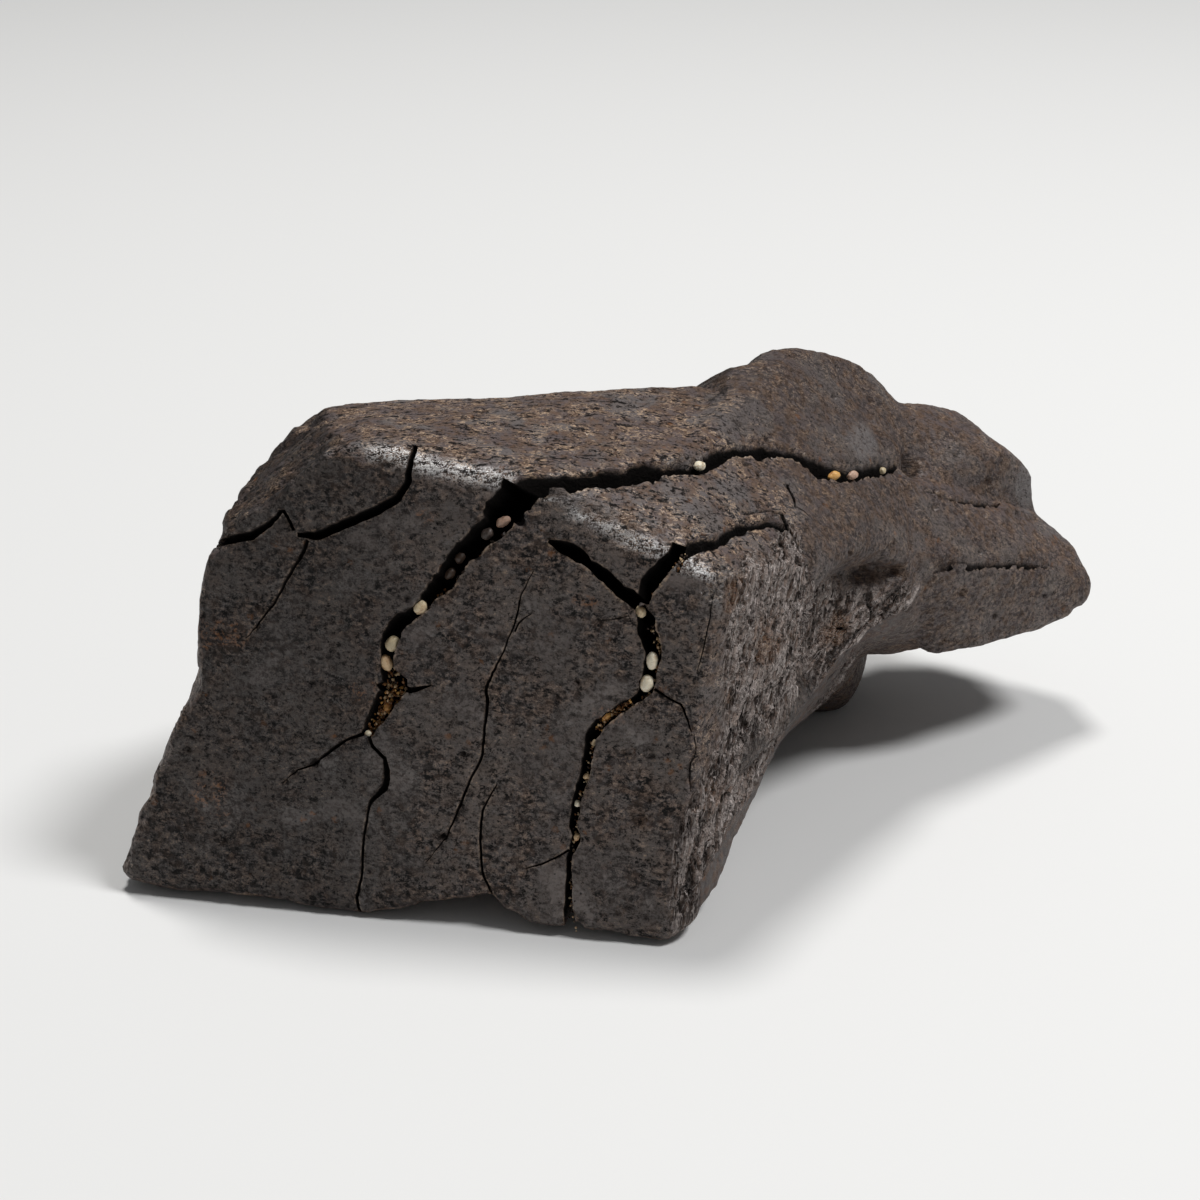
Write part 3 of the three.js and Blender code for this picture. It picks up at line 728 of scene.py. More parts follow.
def makeCutters():
    chance = random.Random(crackMaking["seed"])
    dive, down, back = crackMaking["dive"], Vector((0, 0, -1)), Vector((0, 1, 0))
    floor = crackMaking["fineFloor"]
    cutters = []
    for name, crack in frontCracks.items():
        if "lips" in crack:
            lips = [[Vector(onFace(*point)) for point in lip] for lip in crack["lips"]]
        else:
            lips = lipsOf([(*onFace(across, height), width) for across, height, width in crack["line"]], back)
        cutters.append(makeCutter(name, *lips, dive, crack["depth"], crack["floor"], chance, lit="lips" in crack))
    for name, crack in topCracks.items():
        lips = [[Vector(point) for point in lip] for lip in crack["lips"]]
        cutters.append(makeCutter(name, *lips, down, crack["depth"], crack["floor"], chance, crack["start"], True))
    for i, line in enumerate(hairlines):
        fine = [(*onFace(across, height), width * crackMaking["fine"]) for across, height, width in line]
        lips = lipsOf(fine, back)
        cutters.append(makeCutter(f"hairline_{i}", *lips, dive, crackMaking["fineDepth"], floor, chance))
    for i, line in enumerate(topHairlines):
        lips = lipsOf(line, down)
        cutters.append(makeCutter(f"top_hairline_{i}", *lips, down, crackMaking["fineTopDepth"], floor, chance))
    return cutters


wallRim = [  # sharp rim of the right wall: x, y, height
    (12, -15, 2.2), (11.9, -12.3, 3.6), (11.8, -9.3, 4.9), (12.3, -7.5, 6), (13.4, -6, 7.4), (14.6, -4.4, 8.9),
    (16.5, -2.6, 10.6), (18.2, 0.3, 12.6), (21.6, 4.5, 15.8), (24.2, 6, 17.3), (27.2, 8, 19.1), (28, 10.5, 20.1),
]
raisedSeams = [  # thin raised seams of the tail: x, y, height
    [(22.4, 18.8, 34), (23.5, 17.7, 32.6), (24.5, 16.7, 31.1), (25.9, 15.3, 28.9), (27.2, 14.5, 26.9),
     (28.8, 13.9, 24.6)],
    [(35.4, 24.8, 22.4), (36.6, 26.6, 21.4), (38.4, 28.6, 20.4)],
    [(33.3, 16.2, 14), (36.6, 19.2, 13.2), (40, 22.1, 12.5), (42.6, 24.6, 12)],
]
cutters = makeCutters()
lipPaths = makePaths("crack_lips", crackLips)
litPaths = makePaths("lit_lips", litLips)
rimPath = makePaths("wall_rim", [wallRim])
seamPaths = makePaths("tail_seams", raisedSeams)
report("crack cutters")


# relief
relief = {
    "fullness": 0.12,    # millimetres, made up for what the rounding takes away
    "swell": 0.26,
    "lumps": 0.14,
    "strokes": 0.22,     # short level marks of the front face
    "wallRidges": 0.75,  # fibrous ridges of the right wall
    "wallThreads": 0.3,
    "wallFolds": 0.35,
    "bandGrooves": 0.5,  # grooves of the left edge
    "flutes": 0.6,       # on the shoulder's outer slope
    "pits": 0.30,
    "rim": 0.28,         # sharp rim of the wall
    "seams": 0.35,       # raised seams of the tail
    "lips": 0.12,        # how much the cracks' lips are worn down
}


places = {  # middle and radii of places that differ from what is around them
    "crumbly": [  # rusty crumbly patches
        ((13.3, -16.9, 30.4), (1.6, 3.0, 1.7)), ((16.3, -11.2, 23.4), (2.2, 2.6, 1.3)),
        ((21.2, 3.6, 18.3), (1.8, 2.4, 1.7)),
    ],
    "facet": [  # smooth dark parts of the wall
        ((18.4, -4.5, 14.6), (3.6, 7.4, 2.4)), ((15.4, -12.6, 13.6), (2, 3.4, 2.2)),
    ],
    "rusty": [  # stained patches of the front
        ((-29.6, -18.9, 24.4), (3.4, 3, 1.5)),
        ((-30.3, -20.8, 9.6), (1.8, 3, 3.2)), ((-16.6, -19.6, 20), (1.3, 4, 1.8)),
        ((4.6, -19.1, 20.3), (1.8, 3, 1.2)), ((2.1, -18, 29.6), (0.9, 3, 0.7)),
        ((-11.5, -17.1, 35.9), (0.8, 3, 0.9)),
    ],
    "polished": [((22.2, 13.4, 33), (2.6, 3, 1.9)), ((37.6, 28.6, 23.6), (1.6, 2.4, 2.6))],  # grey worn patches
}


def within(tree, spot, kind):
    # 1 inside the places of that kind, with a soft edge
    found = 0.0
    for middle, radii in places[kind]:
        away = vectorCalc(tree, "DIVIDE", vectorCalc(tree, "SUBTRACT", spot, middle), radii)
        away = put(tree, "ShaderNodeVectorMath", {0: away}, operation="LENGTH").outputs[1]
        found = calc(tree, "MAXIMUM", ramp(tree, away, 0.6, 1.15, 1, 0), found)
    return found


def regions(tree, spot, normal):
    # soft masks for the parts of the stone that differ
    x, y, z = put(tree, "ShaderNodeSeparateXYZ", {0: spot}).outputs[:3]
    nx, ny, nz = put(tree, "ShaderNodeSeparateXYZ", {0: normal}).outputs[:3]
    found = {"x": x, "y": y, "z": z, "nx": nx, "ny": ny, "nz": nz}
    found["front"] = times(tree, ramp(tree, ny, -0.95, -0.8, 1, 0), ramp(tree, y, -15, -12, 1, 0))
    found["top"] = ramp(tree, nz, 0.55, 0.85)
    wobble = calc(tree, "MULTIPLY_ADD", grain(tree, spot, 0.35, 3, 0.6), 4.0, -2.0)
    over = calc(tree, "SUBTRACT", total(tree, z, wobble), ramp(tree, x, 17.5, 21.5, 32, 21.5))
    beside = calc(tree, "SUBTRACT", total(tree, x, times(tree, wobble, 0.35)), ramp(tree, z, 9, 19, 9.9, 13.3))
    facing = calc(tree, "MAXIMUM", ramp(tree, nx, 0.2, 0.5), ramp(tree, z, 15, 19, 1, 0))
    found["wall"] = times(tree, facing, ramp(tree, over, -0.5, 0.5, 1, 0), ramp(tree, beside, -0.4, 0.7),
                          ramp(tree, nz, -0.62, -0.35), ramp(tree, y, 12, 15, 1, 0), ramp(tree, x, 26.5, 28.5, 1, 0))
    # the smooth strip beyond the wall's rim, whose x follows the height in straight stretches
    rim = 11.9
    for across, height, slope in ((14.4, 8.9, 0.65), (16.5, 10.6, 0.95), (21.6, 15.8, 1.7)):
        rim = calc(tree, "MAXIMUM", rim, calc(tree, "MULTIPLY_ADD", z, slope, across - slope * height))
    found["strip"] = times(tree, ramp(tree, calc(tree, "SUBTRACT", x, rim), 0, 0.4), ramp(tree, z, 17, 19, 1, 0),
                           ramp(tree, y, 8, 12, 1, 0), ramp(tree, nx, 0.1, 0.4))
    found["wall"] = times(tree, found["wall"], calc(tree, "SUBTRACT", 1.0, found["strip"]))
    found["band"] = times(tree, ramp(tree, nx, -0.55, -0.25, 1, 0), ramp(tree, z, 19, 25, 1, 0))
    found["shoulder"] = times(tree, ramp(tree, nx, -0.5, -0.15, 1, 0), ramp(tree, z, 31, 34))
    wander = put(tree, "ShaderNodeTexNoise", {"Vector": spot, "Scale": 0.5, "Detail": 3}).outputs[1]
    ragged = vectorCalc(tree, "MULTIPLY_ADD", wander, (2.4, 2.4, 2.4), spot)
    ragged = vectorCalc(tree, "SUBTRACT", ragged, (1.2, 1.2, 1.2))
    for kind in places:
        found[kind] = within(tree, ragged, kind)
    return found


def ridged(tree, value, width):
    # 1 along the middle of the noise, falling to 0 within width of it
    away = calc(tree, "ABSOLUTE", calc(tree, "SUBTRACT", value, 0.5))
    return ramp(tree, away, 0, width, 1, 0)


def mixed(tree, share, one, other):
    return calc(tree, "ADD", one, calc(tree, "MULTIPLY", share, calc(tree, "SUBTRACT", other, one)))


def fibres(tree, axes, scale):
    return ridged(tree, grain(tree, axes, scale, 2, 0.5), 0.11)


def broadShape(tree, spot, normal):
    area = regions(tree, spot, normal)
    swell = calc(tree, "SUBTRACT", grain(tree, spot, 0.09, 3, 0.5), 0.5)
    lumps = calc(tree, "SUBTRACT", grain(tree, spot, 0.30, 3, 0.55), 0.5)
    quiet = ramp(tree, area["front"], 0, 1, 1, 0.55)
    alongWall = stretched(tree, spot, (0.25, 0.62, 0.75), (0.10, 0.42, 0.42))
    alongBand = stretched(tree, spot, (-0.25, -0.1, -0.9), (0.09, 0.5, 0.5))
    downShoulder = stretched(tree, spot, (-0.75, -0.05, -0.6), (0.10, 0.42, 0.42))
    folds = ridged(tree, grain(tree, alongWall, 1, 2, 0.5, 0.4), 0.16)
    grooves = ridged(tree, grain(tree, alongBand, 1, 2, 0.5, 0.3), 0.14)
    flutes = ridged(tree, grain(tree, downShoulder, 1, 2, 0.5, 0.5), 0.18)
    return total(
        tree,
        relief["fullness"],
        times(tree, swell, quiet, relief["swell"] * 4),
        times(tree, ramp(tree, nearTo(tree, seamPaths), 0.1, 0.9, 1, 0), relief["seams"]),
        times(tree, lumps, quiet, relief["lumps"] * 4),
        times(tree, area["wall"], ramp(tree, nearTo(tree, rimPath), 1, 3), calc(tree, "SUBTRACT", folds, 0.45),
              relief["wallFolds"]),
        times(tree, area["band"], calc(tree, "SUBTRACT", grooves, 0.5), relief["bandGrooves"]),
        times(tree, area["shoulder"], calc(tree, "SUBTRACT", flutes, 0.4), relief["flutes"]),
    )


def fineShape(tree, spot, normal):
    area = regions(tree, spot, normal)
    sideways = stretched(tree, spot, (1, 0.05, 0.12), (0.45, 1.2, 1.5))
    strokes = calc(tree, "SUBTRACT", grain(tree, sideways, 1.1, 4, 0.6), 0.5)
    smooth = ramp(tree, grain(tree, spot, 0.16, 2, 0.5), 0.52, 0.60, 1, 0.25)
    warp = put(tree, "ShaderNodeTexNoise", {"Vector": spot, "Scale": 0.22, "Detail": 1}).outputs[1]
    warped = vectorCalc(tree, "MULTIPLY_ADD", warp, (2.4, 2.4, 2.4), spot)
    fromRim = nearTo(tree, rimPath)
    low = ramp(tree, fromRim, 2.5, 5, 1, 0)
    ridged = times(tree, area["wall"], ramp(tree, fromRim, 0.2, 1.0), calc(tree, "SUBTRACT", 1.0, area["facet"]),
                   ramp(tree, area["z"], 1.2, 3.5))
    upright = stretched(tree, warped, (0.1, 0.33, 0.92), (0.13, 0.95, 0.95))
    leaning = stretched(tree, warped, (0.42, 0.76, 0.5), (0.13, 0.95, 0.95))
    ridges = mixed(tree, low, fibres(tree, upright, 0.85), fibres(tree, leaning, 0.85))
    threads = mixed(tree, low, fibres(tree, upright, 2.0), fibres(tree, leaning, 2.0))
    patchy = ramp(tree, grain(tree, spot, 0.25, 2, 0.5), 0.42, 0.58, 0.35, 1)
    speck = cells(tree, spot, 0.62)
    chosen = ramp(tree, put(tree, "ShaderNodeSeparateXYZ", {0: speck.outputs["Color"]}).outputs[0], 0.80, 0.84)
    pit = times(tree, chosen, ramp(tree, speck.outputs[0], 0.12, 0.30, 1, 0))
    rough = times(tree, calc(tree, "SUBTRACT", grain(tree, spot, 1.3, 3, 0.6), 0.5),
                  ramp(tree, nearTo(tree, browPaths), 0.8, 2.2, 0.4, 1))
    crumbs = ramp(tree, cells(tree, warped, 1.5).outputs[0], 0.1, 0.6, 0.5, -0.5)
    return total(
        tree,
        times(tree, area["front"], strokes, smooth, relief["strokes"] * 3),
        times(tree, calc(tree, "SUBTRACT", 1.0, area["front"]), rough, ramp(tree, fromRim, 0.5, 1.5), 0.26),
        times(tree, ridged, patchy, calc(tree, "SUBTRACT", ridges, 0.4), relief["wallRidges"]),
        times(tree, ridged, calc(tree, "SUBTRACT", threads, 0.4), relief["wallThreads"]),
        times(tree, area["crumbly"], crumbs, 0.35),
        times(tree, ramp(tree, fromRim, 0.1, 0.6, 1, 0), relief["rim"]),
        times(tree, area["strip"], -relief["rim"]),
        times(tree, pit, -relief["pits"]),
        times(tree, ramp(tree, nearTo(tree, lipPaths), 0.05, 0.5, 1, 0), ramp(tree, rough, -0.12, 0.12, 1.8, 0),
              -relief["lips"]),
    )


applyRelief(stone, "broad shape", broadShape)
selectOnly(stone)
bpy.ops.object.duplicate()
broadStone = bpy.context.object
applyModifier(stone, "refine", "REMESH", mode="VOXEL", voxel_size=stoneMaking["fineVoxel"])
report("broad shape")
applyRelief(stone, "fine shape", fineShape)
report("fine shape")


# marks that the finish reads
markPaths = {"lipNear": lipPaths, "litNear": litPaths, "rimNear": rimPath, "seamNear": seamPaths, "browNear": browPaths}


def markStone(stone, base):
    # lay: the broad direction the surface faces; sunk: millimetres below the broad surface; steep: how far the
    # surface turns from lay; the others: millimetres to the nearest lip, lit lip, rim, seam and brow
    tree, geometry, end, position, normal = newShapeTree("marks")
    smooth = put(tree, "GeometryNodeObjectInfo", {"Object": base}).outputs["Geometry"]
    sample = put(tree, "GeometryNodeSampleNearestSurface", data_type="FLOAT_VECTOR")
    tree.links.new(smooth, sample.inputs["Mesh"])
    tree.links.new(normal, sample.inputs["Value"])
    lay = sample.outputs["Value"]
    nearest = put(tree, "GeometryNodeProximity", {0: smooth}, target_element="FACES").outputs[0]
    inward = vectorCalc(tree, "SUBTRACT", nearest, position)
    sunk = put(tree, "ShaderNodeVectorMath", {0: inward, 1: lay}, operation="DOT_PRODUCT").outputs[1]
    facing = put(tree, "ShaderNodeVectorMath", {0: normal, 1: lay}, operation="DOT_PRODUCT").outputs[1]
    marks = {"sunk": times(tree, sunk, 1000.0), "steep": calc(tree, "SUBTRACT", 1.0, facing)}
    for name, paths in markPaths.items():
        marks[name] = nearTo(tree, paths)
    for name, value in {"lay": lay, **marks}.items():
        kind = "FLOAT_VECTOR" if name == "lay" else "FLOAT"
        store = put(tree, "GeometryNodeStoreNamedAttribute", {"Geometry": geometry, "Name": name}, data_type=kind)
        tree.links.new(value, store.inputs["Value"])
        geometry = store.outputs[0]
    tree.links.new(geometry, end)
    applyModifier(stone, "marks", "NODES", node_group=tree)


# finish of the stone
stoneFinish = {
    "frontDarkAndShade": (0.004, 0.0032, 0.003),
    "frontGrey": (0.122, 0.102, 0.092),
    "frontBrown": (0.152, 0.101, 0.077),
    "frontLilac": (0.115, 0.093, 0.087),
    "frontTanAndHighlight": (0.36, 0.26, 0.19),
    "topDarkAndShade": (0.010, 0.007, 0.006),
    "topBrown": (0.156, 0.100, 0.073),
    "topLilac": (0.142, 0.110, 0.106),
    "topTan": (0.66, 0.46, 0.30),
    "wallDarkAndShade": (0.020, 0.013, 0.010),
    "wallBrown": (0.205, 0.138, 0.106),
    "wallPaleAndSheen": (0.74, 0.64, 0.60),
    "polished": (0.175, 0.160, 0.158),
    "browGlint": (0.70, 0.69, 0.68),
    "rust": (0.30, 0.125, 0.045),
    "rustPale": (0.62, 0.42, 0.25),
    "crackLipHighlight": (0.44, 0.31, 0.21),
    "crackAndPitShade": (0.006, 0.0045, 0.004),
    "roughness": 0.55,
    "polish": 0.30,      # roughness of the worn gloss
    "reflection": 0.12,
    "coatIor": 1.8,
    "bump": 0.0003,      # metres for a height of 1
    "coatBump": 0.00005,
}


def blend(tree, share, one, other, how="MIX"):
    node = tree.nodes.new("ShaderNodeMix")
    node.data_type = "RGBA"
    node.blend_type = how
    for index, value in ((0, share), (6, one), (7, other)):
        if isinstance(value, bpy.types.NodeSocket):
            tree.links.new(value, node.inputs[index])
        else:
            node.inputs[index].default_value = (*value, 1) if isinstance(value, tuple) else value
    return node.outputs[2]


def chosenCells(tree, spot, scale, channel, low, high):
    # 1 in the cells that chance picks, with the distance to each cell's middle
    found = cells(tree, spot, scale)
    chance = put(tree, "ShaderNodeSeparateXYZ", {0: found.outputs["Color"]}).outputs[channel]
    return ramp(tree, chance, low, high), found.outputs[0]


def frontFinish(tree, spot, area, fine):
    # short level marks: painted shade darkens their hollows, their crests are tan partly as painted light, and some
    # patches are smooth
    tone = stoneFinish
    level = stretched(tree, spot, (1, 0.05, -0.1), (0.75, 1.15, 1.2))
    marks = grain(tree, level, 1.9, 5, 0.7, 0.5)
    height = total(tree, times(tree, marks, 0.45), times(tree, fine["specks"], 0.37), times(tree, fine["dust"], 0.18))
    smooth = total(tree, grain(tree, spot, 0.16, 4, 0.6, 0.5),
                   times(tree, calc(tree, "SUBTRACT", fine["specks"], 0.5), 0.3))
    smooth = times(tree, ramp(tree, smooth, 0.49, 0.66), area["front"])
    colour = blend(tree, ramp(tree, fine["tints"], 0.42, 0.58), tone["frontBrown"], tone["frontLilac"])
    colour = blend(tree, ramp(tree, fine["clouds"], 0.42, 0.60, 0.1, 0.75), colour, tone["frontGrey"])
    gloomy = ramp(tree, fine["clouds"], 0.44, 0.58, 0.02, -0.02)
    # painted shade: the low parts of the marks' height are darkened as if shaded
    hollow = times(tree, ramp(tree, calc(tree, "SUBTRACT", height, gloomy), 0.45, 0.53, 1, 0),
                   ramp(tree, grain(tree, spot, 1.1, 3, 0.6), 0.40, 0.60, 0.6, 1))
    colour = blend(tree, hollow, colour, tone["frontDarkAndShade"])
    # the crests tan: partly the stone's tan strokes, partly a painted highlight where light would catch them
    colour = blend(tree, ramp(tree, height, 0.535, 0.64), colour, tone["frontTanAndHighlight"])
    plain = blend(tree, ramp(tree, fine["dust"], 0.3, 0.7), tone["frontLilac"], tone["frontGrey"])
    colour = blend(tree, times(tree, smooth, 0.85), colour, plain)
    # painted shade: the left part of the front darker, as it turns further from the light
    colour = blend(tree, ramp(tree, area["x"], -20, -7, 0.4, 0), colour, tone["frontDarkAndShade"])
    return colour, height, smooth


def topFinish(tree, spot, area, fine):
    # brown and lilac with fine tan crinkles, calmer towards the tail
    tone = stoneFinish
    alongTop = stretched(tree, spot, (1, 0.25, -0.05), (0.34, 1.1, 1.1))
    crinkles = grain(tree, alongTop, 1.9, 4, 0.62, 1.1)
    threads = ridged(tree, crinkles, 0.045)
    height = total(tree, times(tree, crinkles, 0.5), times(tree, fine["specks"], 0.4), times(tree, fine["dust"], 0.10))
    colour = blend(tree, ramp(tree, fine["tints"], 0.40, 0.60), tone["topBrown"], tone["topLilac"])
    colour = blend(tree, ramp(tree, fine["clouds"], 0.50, 0.62, 0, 0.7), colour, tone["polished"])
    calm = ramp(tree, total(tree, area["x"], area["y"]), 4, 22, 0, 0.55)
    colour = blend(tree, times(tree, calm, ramp(tree, fine["tints"], 0.40, 0.62)), colour, tone["topLilac"])
    colour = blend(tree, times(tree, calm, ramp(tree, area["x"], 24, 28, 0.5, 0.15)), colour, tone["topDarkAndShade"])
    # painted shade: below the crests the top is darkened as if shaded, except where it is calm
    crests = calc(tree, "MAXIMUM", ramp(tree, height, 0.43, 0.50), calm)
    colour = blend(tree, crests, tone["topDarkAndShade"], colour)
    bright = times(tree, threads, calc(tree, "SUBTRACT", 1.0, calm),
                   ramp(tree, grain(tree, spot, 0.4, 4, 0.65), 0.42, 0.60), ramp(tree, fine["specks"], 0.42, 0.55))
    return blend(tree, bright, colour, tone["topTan"]), height, crinkles, bright


def wallFinish(tree, spot, area, fine, mark, front):
    # pale ridges and threads over brown, leaning forwards near the rim; the pale is partly the fibres' own colour and
    # partly painted sheen, and painted shade darkens the sunk valleys
    tone = stoneFinish
    low = ramp(tree, mark["rimNear"], 2.5, 5, 1, 0)
    upright = stretched(tree, spot, (0.1, 0.33, 0.92), (0.13, 0.95, 0.95))
    leaning = stretched(tree, spot, (0.42, 0.76, 0.5), (0.13, 0.95, 0.95))
    threads, hairs = (
        mixed(tree, low, ridged(tree, grain(tree, upright, scale, detail, rough, warp), width),
              ridged(tree, grain(tree, leaning, scale, detail, rough, warp), width))
        for scale, detail, rough, warp, width in ((1.3, 3, 0.6, 0.4, 0.06), (2.9, 2, 0.5, 0.3, 0.07)))
    raised = ramp(tree, mark["sunk"], -0.36, 0.05, 1, 0)
    colour = blend(tree, ramp(tree, fine["specks"], 0.36, 0.52), tone["wallDarkAndShade"], tone["wallBrown"])
    # painted shade: the wall darker where it sinks below the broad surface
    colour = blend(tree, ramp(tree, mark["sunk"], -0.14, 0.14, 0, 0.9), colour, tone["wallDarkAndShade"])
    # pale on threads and raised parts: partly the fibres' own colour, partly painted sheen where light would catch them
    pale = times(tree, total(tree, times(tree, threads, 0.95), times(tree, hairs, 0.35), times(tree, raised, 0.4)),
                 ramp(tree, mark["rimNear"], 2.5, 6, 0.75, 1))
    colour = blend(tree, times(tree, pale, ramp(tree, fine["specks"], 0.40, 0.5, 0.4, 1)), colour, tone["wallPaleAndSheen"])
    rusty = total(tree, times(tree, area["crumbly"], 0.6), times(tree, ramp(tree, fine["clouds"], 0.58, 0.66), 0.2))
    rusty = times(tree, rusty, ramp(tree, fine["specks"], 0.38, 0.5))
    rust = blend(tree, ramp(tree, fine["dust"], 0.5, 0.68), tone["rust"], tone["rustPale"])
    colour = blend(tree, rusty, colour, rust)
    return blend(tree, times(tree, area["facet"], 0.85), colour, front), threads, hairs, raised


def joinFinishes(tree, area, fine, mark, front, top, wall):
    # the finishes side by side, with what is particular to the strip, the shoulder, the left edge and stained places
    tone = stoneFinish
    sheen = blend(tree, ramp(tree, fine["tints"], 0.42, 0.6), tone["polished"], tone["wallBrown"])
    sides = blend(tree, area["top"], blend(tree, 0.5, front, top), top)
    colour = blend(tree, area["front"], sides, front)
    colour = blend(tree, area["wall"], colour, wall)
    colour = blend(tree, times(tree, area["strip"], 0.85), colour, sheen)
    wearAndGlint = times(tree, area["polished"], ramp(tree, fine["specks"], 0.34, 0.5), 0.8)
    colour = blend(tree, wearAndGlint, colour, tone["polished"])
    colour = blend(tree, times(tree, area["shoulder"], 0.62), colour, tone["frontDarkAndShade"])
    # painted highlight: pale on the crests of the left edge's grooves
    crests = times(tree, area["band"], ramp(tree, mark["sunk"], -0.15, 0.05, 1, 0.2),
                   ramp(tree, fine["specks"], 0.42, 0.56), 0.4)
    colour = blend(tree, crests, colour, tone["wallPaleAndSheen"])
    stain = times(tree, area["rusty"], ramp(tree, fine["specks"], 0.46, 0.60),
                  ramp(tree, fine["tints"], 0.42, 0.6), 0.65)
    return blend(tree, stain, colour, tone["rust"])


def addSpots(tree, spot, fine, colour):
    # rust in scattered spots, and small pits darkened as painted shade
    picked, away = chosenCells(tree, spot, 0.8, 1, 0.90, 0.93)
    rust = times(tree, picked, ramp(tree, calc(tree, "ADD", away, times(tree, fine["specks"], 0.9)), 0.50, 0.75, 1, 0))
    colour = blend(tree, times(tree, rust, 0.4), colour, stoneFinish["rust"])
    picked, away = chosenCells(tree, spot, 2.2, 0, 0.70, 0.74)
    pit = times(tree, picked, ramp(tree, away, 0.12, 0.26, 1, 0), ramp(tree, fine["clouds"], 0.40, 0.55))
    # painted shade in the small pits
    return blend(tree, times(tree, pit, 0.9), colour, stoneFinish["crackAndPitShade"]), pit


def addEdges(tree, spot, area, fine, mark, crinkles, colour):
    # tan seams, a painted highlight along the wall's pale rim, painted highlights on the cracks' tan lips and painted
    # shade in their insides, and a painted glint on the worn brows
    tone = stoneFinish
    specks = fine["specks"]
    seam = times(tree, ramp(tree, mark["seamNear"], 0.12, 0.45, 1, 0), ramp(tree, specks, 0.38, 0.6))
    colour = blend(tree, times(tree, seam, 0.6), colour, tone["topTan"])
    # painted highlight: a thin pale line along the wall's rim
    rim = times(tree, ramp(tree, mark["rimNear"], 0.15, 0.45, 1, 0), ramp(tree, specks, 0.3, 0.5))
    colour = blend(tree, times(tree, rim, 0.8), colour, tone["wallPaleAndSheen"])
    # painted shade: the cracks darker where they sink and where their walls turn steep
    steepness = times(tree, ramp(tree, mark["steep"], 0.3, 0.65), ramp(tree, mark["sunk"], 0.06, 0.2),
                      ramp(tree, mark["lipNear"], 0.9, 1.5, 1, 0))
    inside = calc(tree, "MAXIMUM", ramp(tree, mark["sunk"], 0.18, 0.5), steepness)
    colour = blend(tree, inside, colour, tone["crackAndPitShade"])
    # painted highlight: tan along the cracks' lips, strongest on the lit ones
    lip = times(tree, ramp(tree, mark["lipNear"], 0.05, 0.25, 0.45, 0), ramp(tree, specks, 0.45, 0.58))
    litLip = times(tree, ramp(tree, mark["litNear"], 0.08, 0.28, 1, 0), ramp(tree, specks, 0.40, 0.52),
                   ramp(tree, grain(tree, spot, 0.5, 3, 0.6), 0.42, 0.60, 0.1, 1))
    lip = times(tree, calc(tree, "MAXIMUM", lip, litLip), ramp(tree, mark["sunk"], 0.2, 0.4, 1, 0))
    colour = blend(tree, times(tree, lip, 0.8), colour, tone["crackLipHighlight"])
    # painted highlight: a white crackled glint along the worn brows
    crackle = total(tree, times(tree, crinkles, 0.25), times(tree, specks, 0.35), times(tree, fine["dust"], 0.4))
    crackle = ramp(tree, crackle, 0.475, 0.53)
    upwards = ramp(tree, area["nz"], 0.3, 0.6)
    wearAndGlint = times(tree, ramp(tree, mark["browNear"], 0.5, 1.5, 1, 0), upwards, crackle)
    colour = blend(tree, times(tree, wearAndGlint, ramp(tree, mark["sunk"], 0.1, 0.3, 1, 0), 0.75), colour, tone["browGlint"])
    brow = times(tree, ramp(tree, mark["browNear"], 0.9, 1.8, 1, 0), upwards, crackle)
    return colour, rim, lip, brow


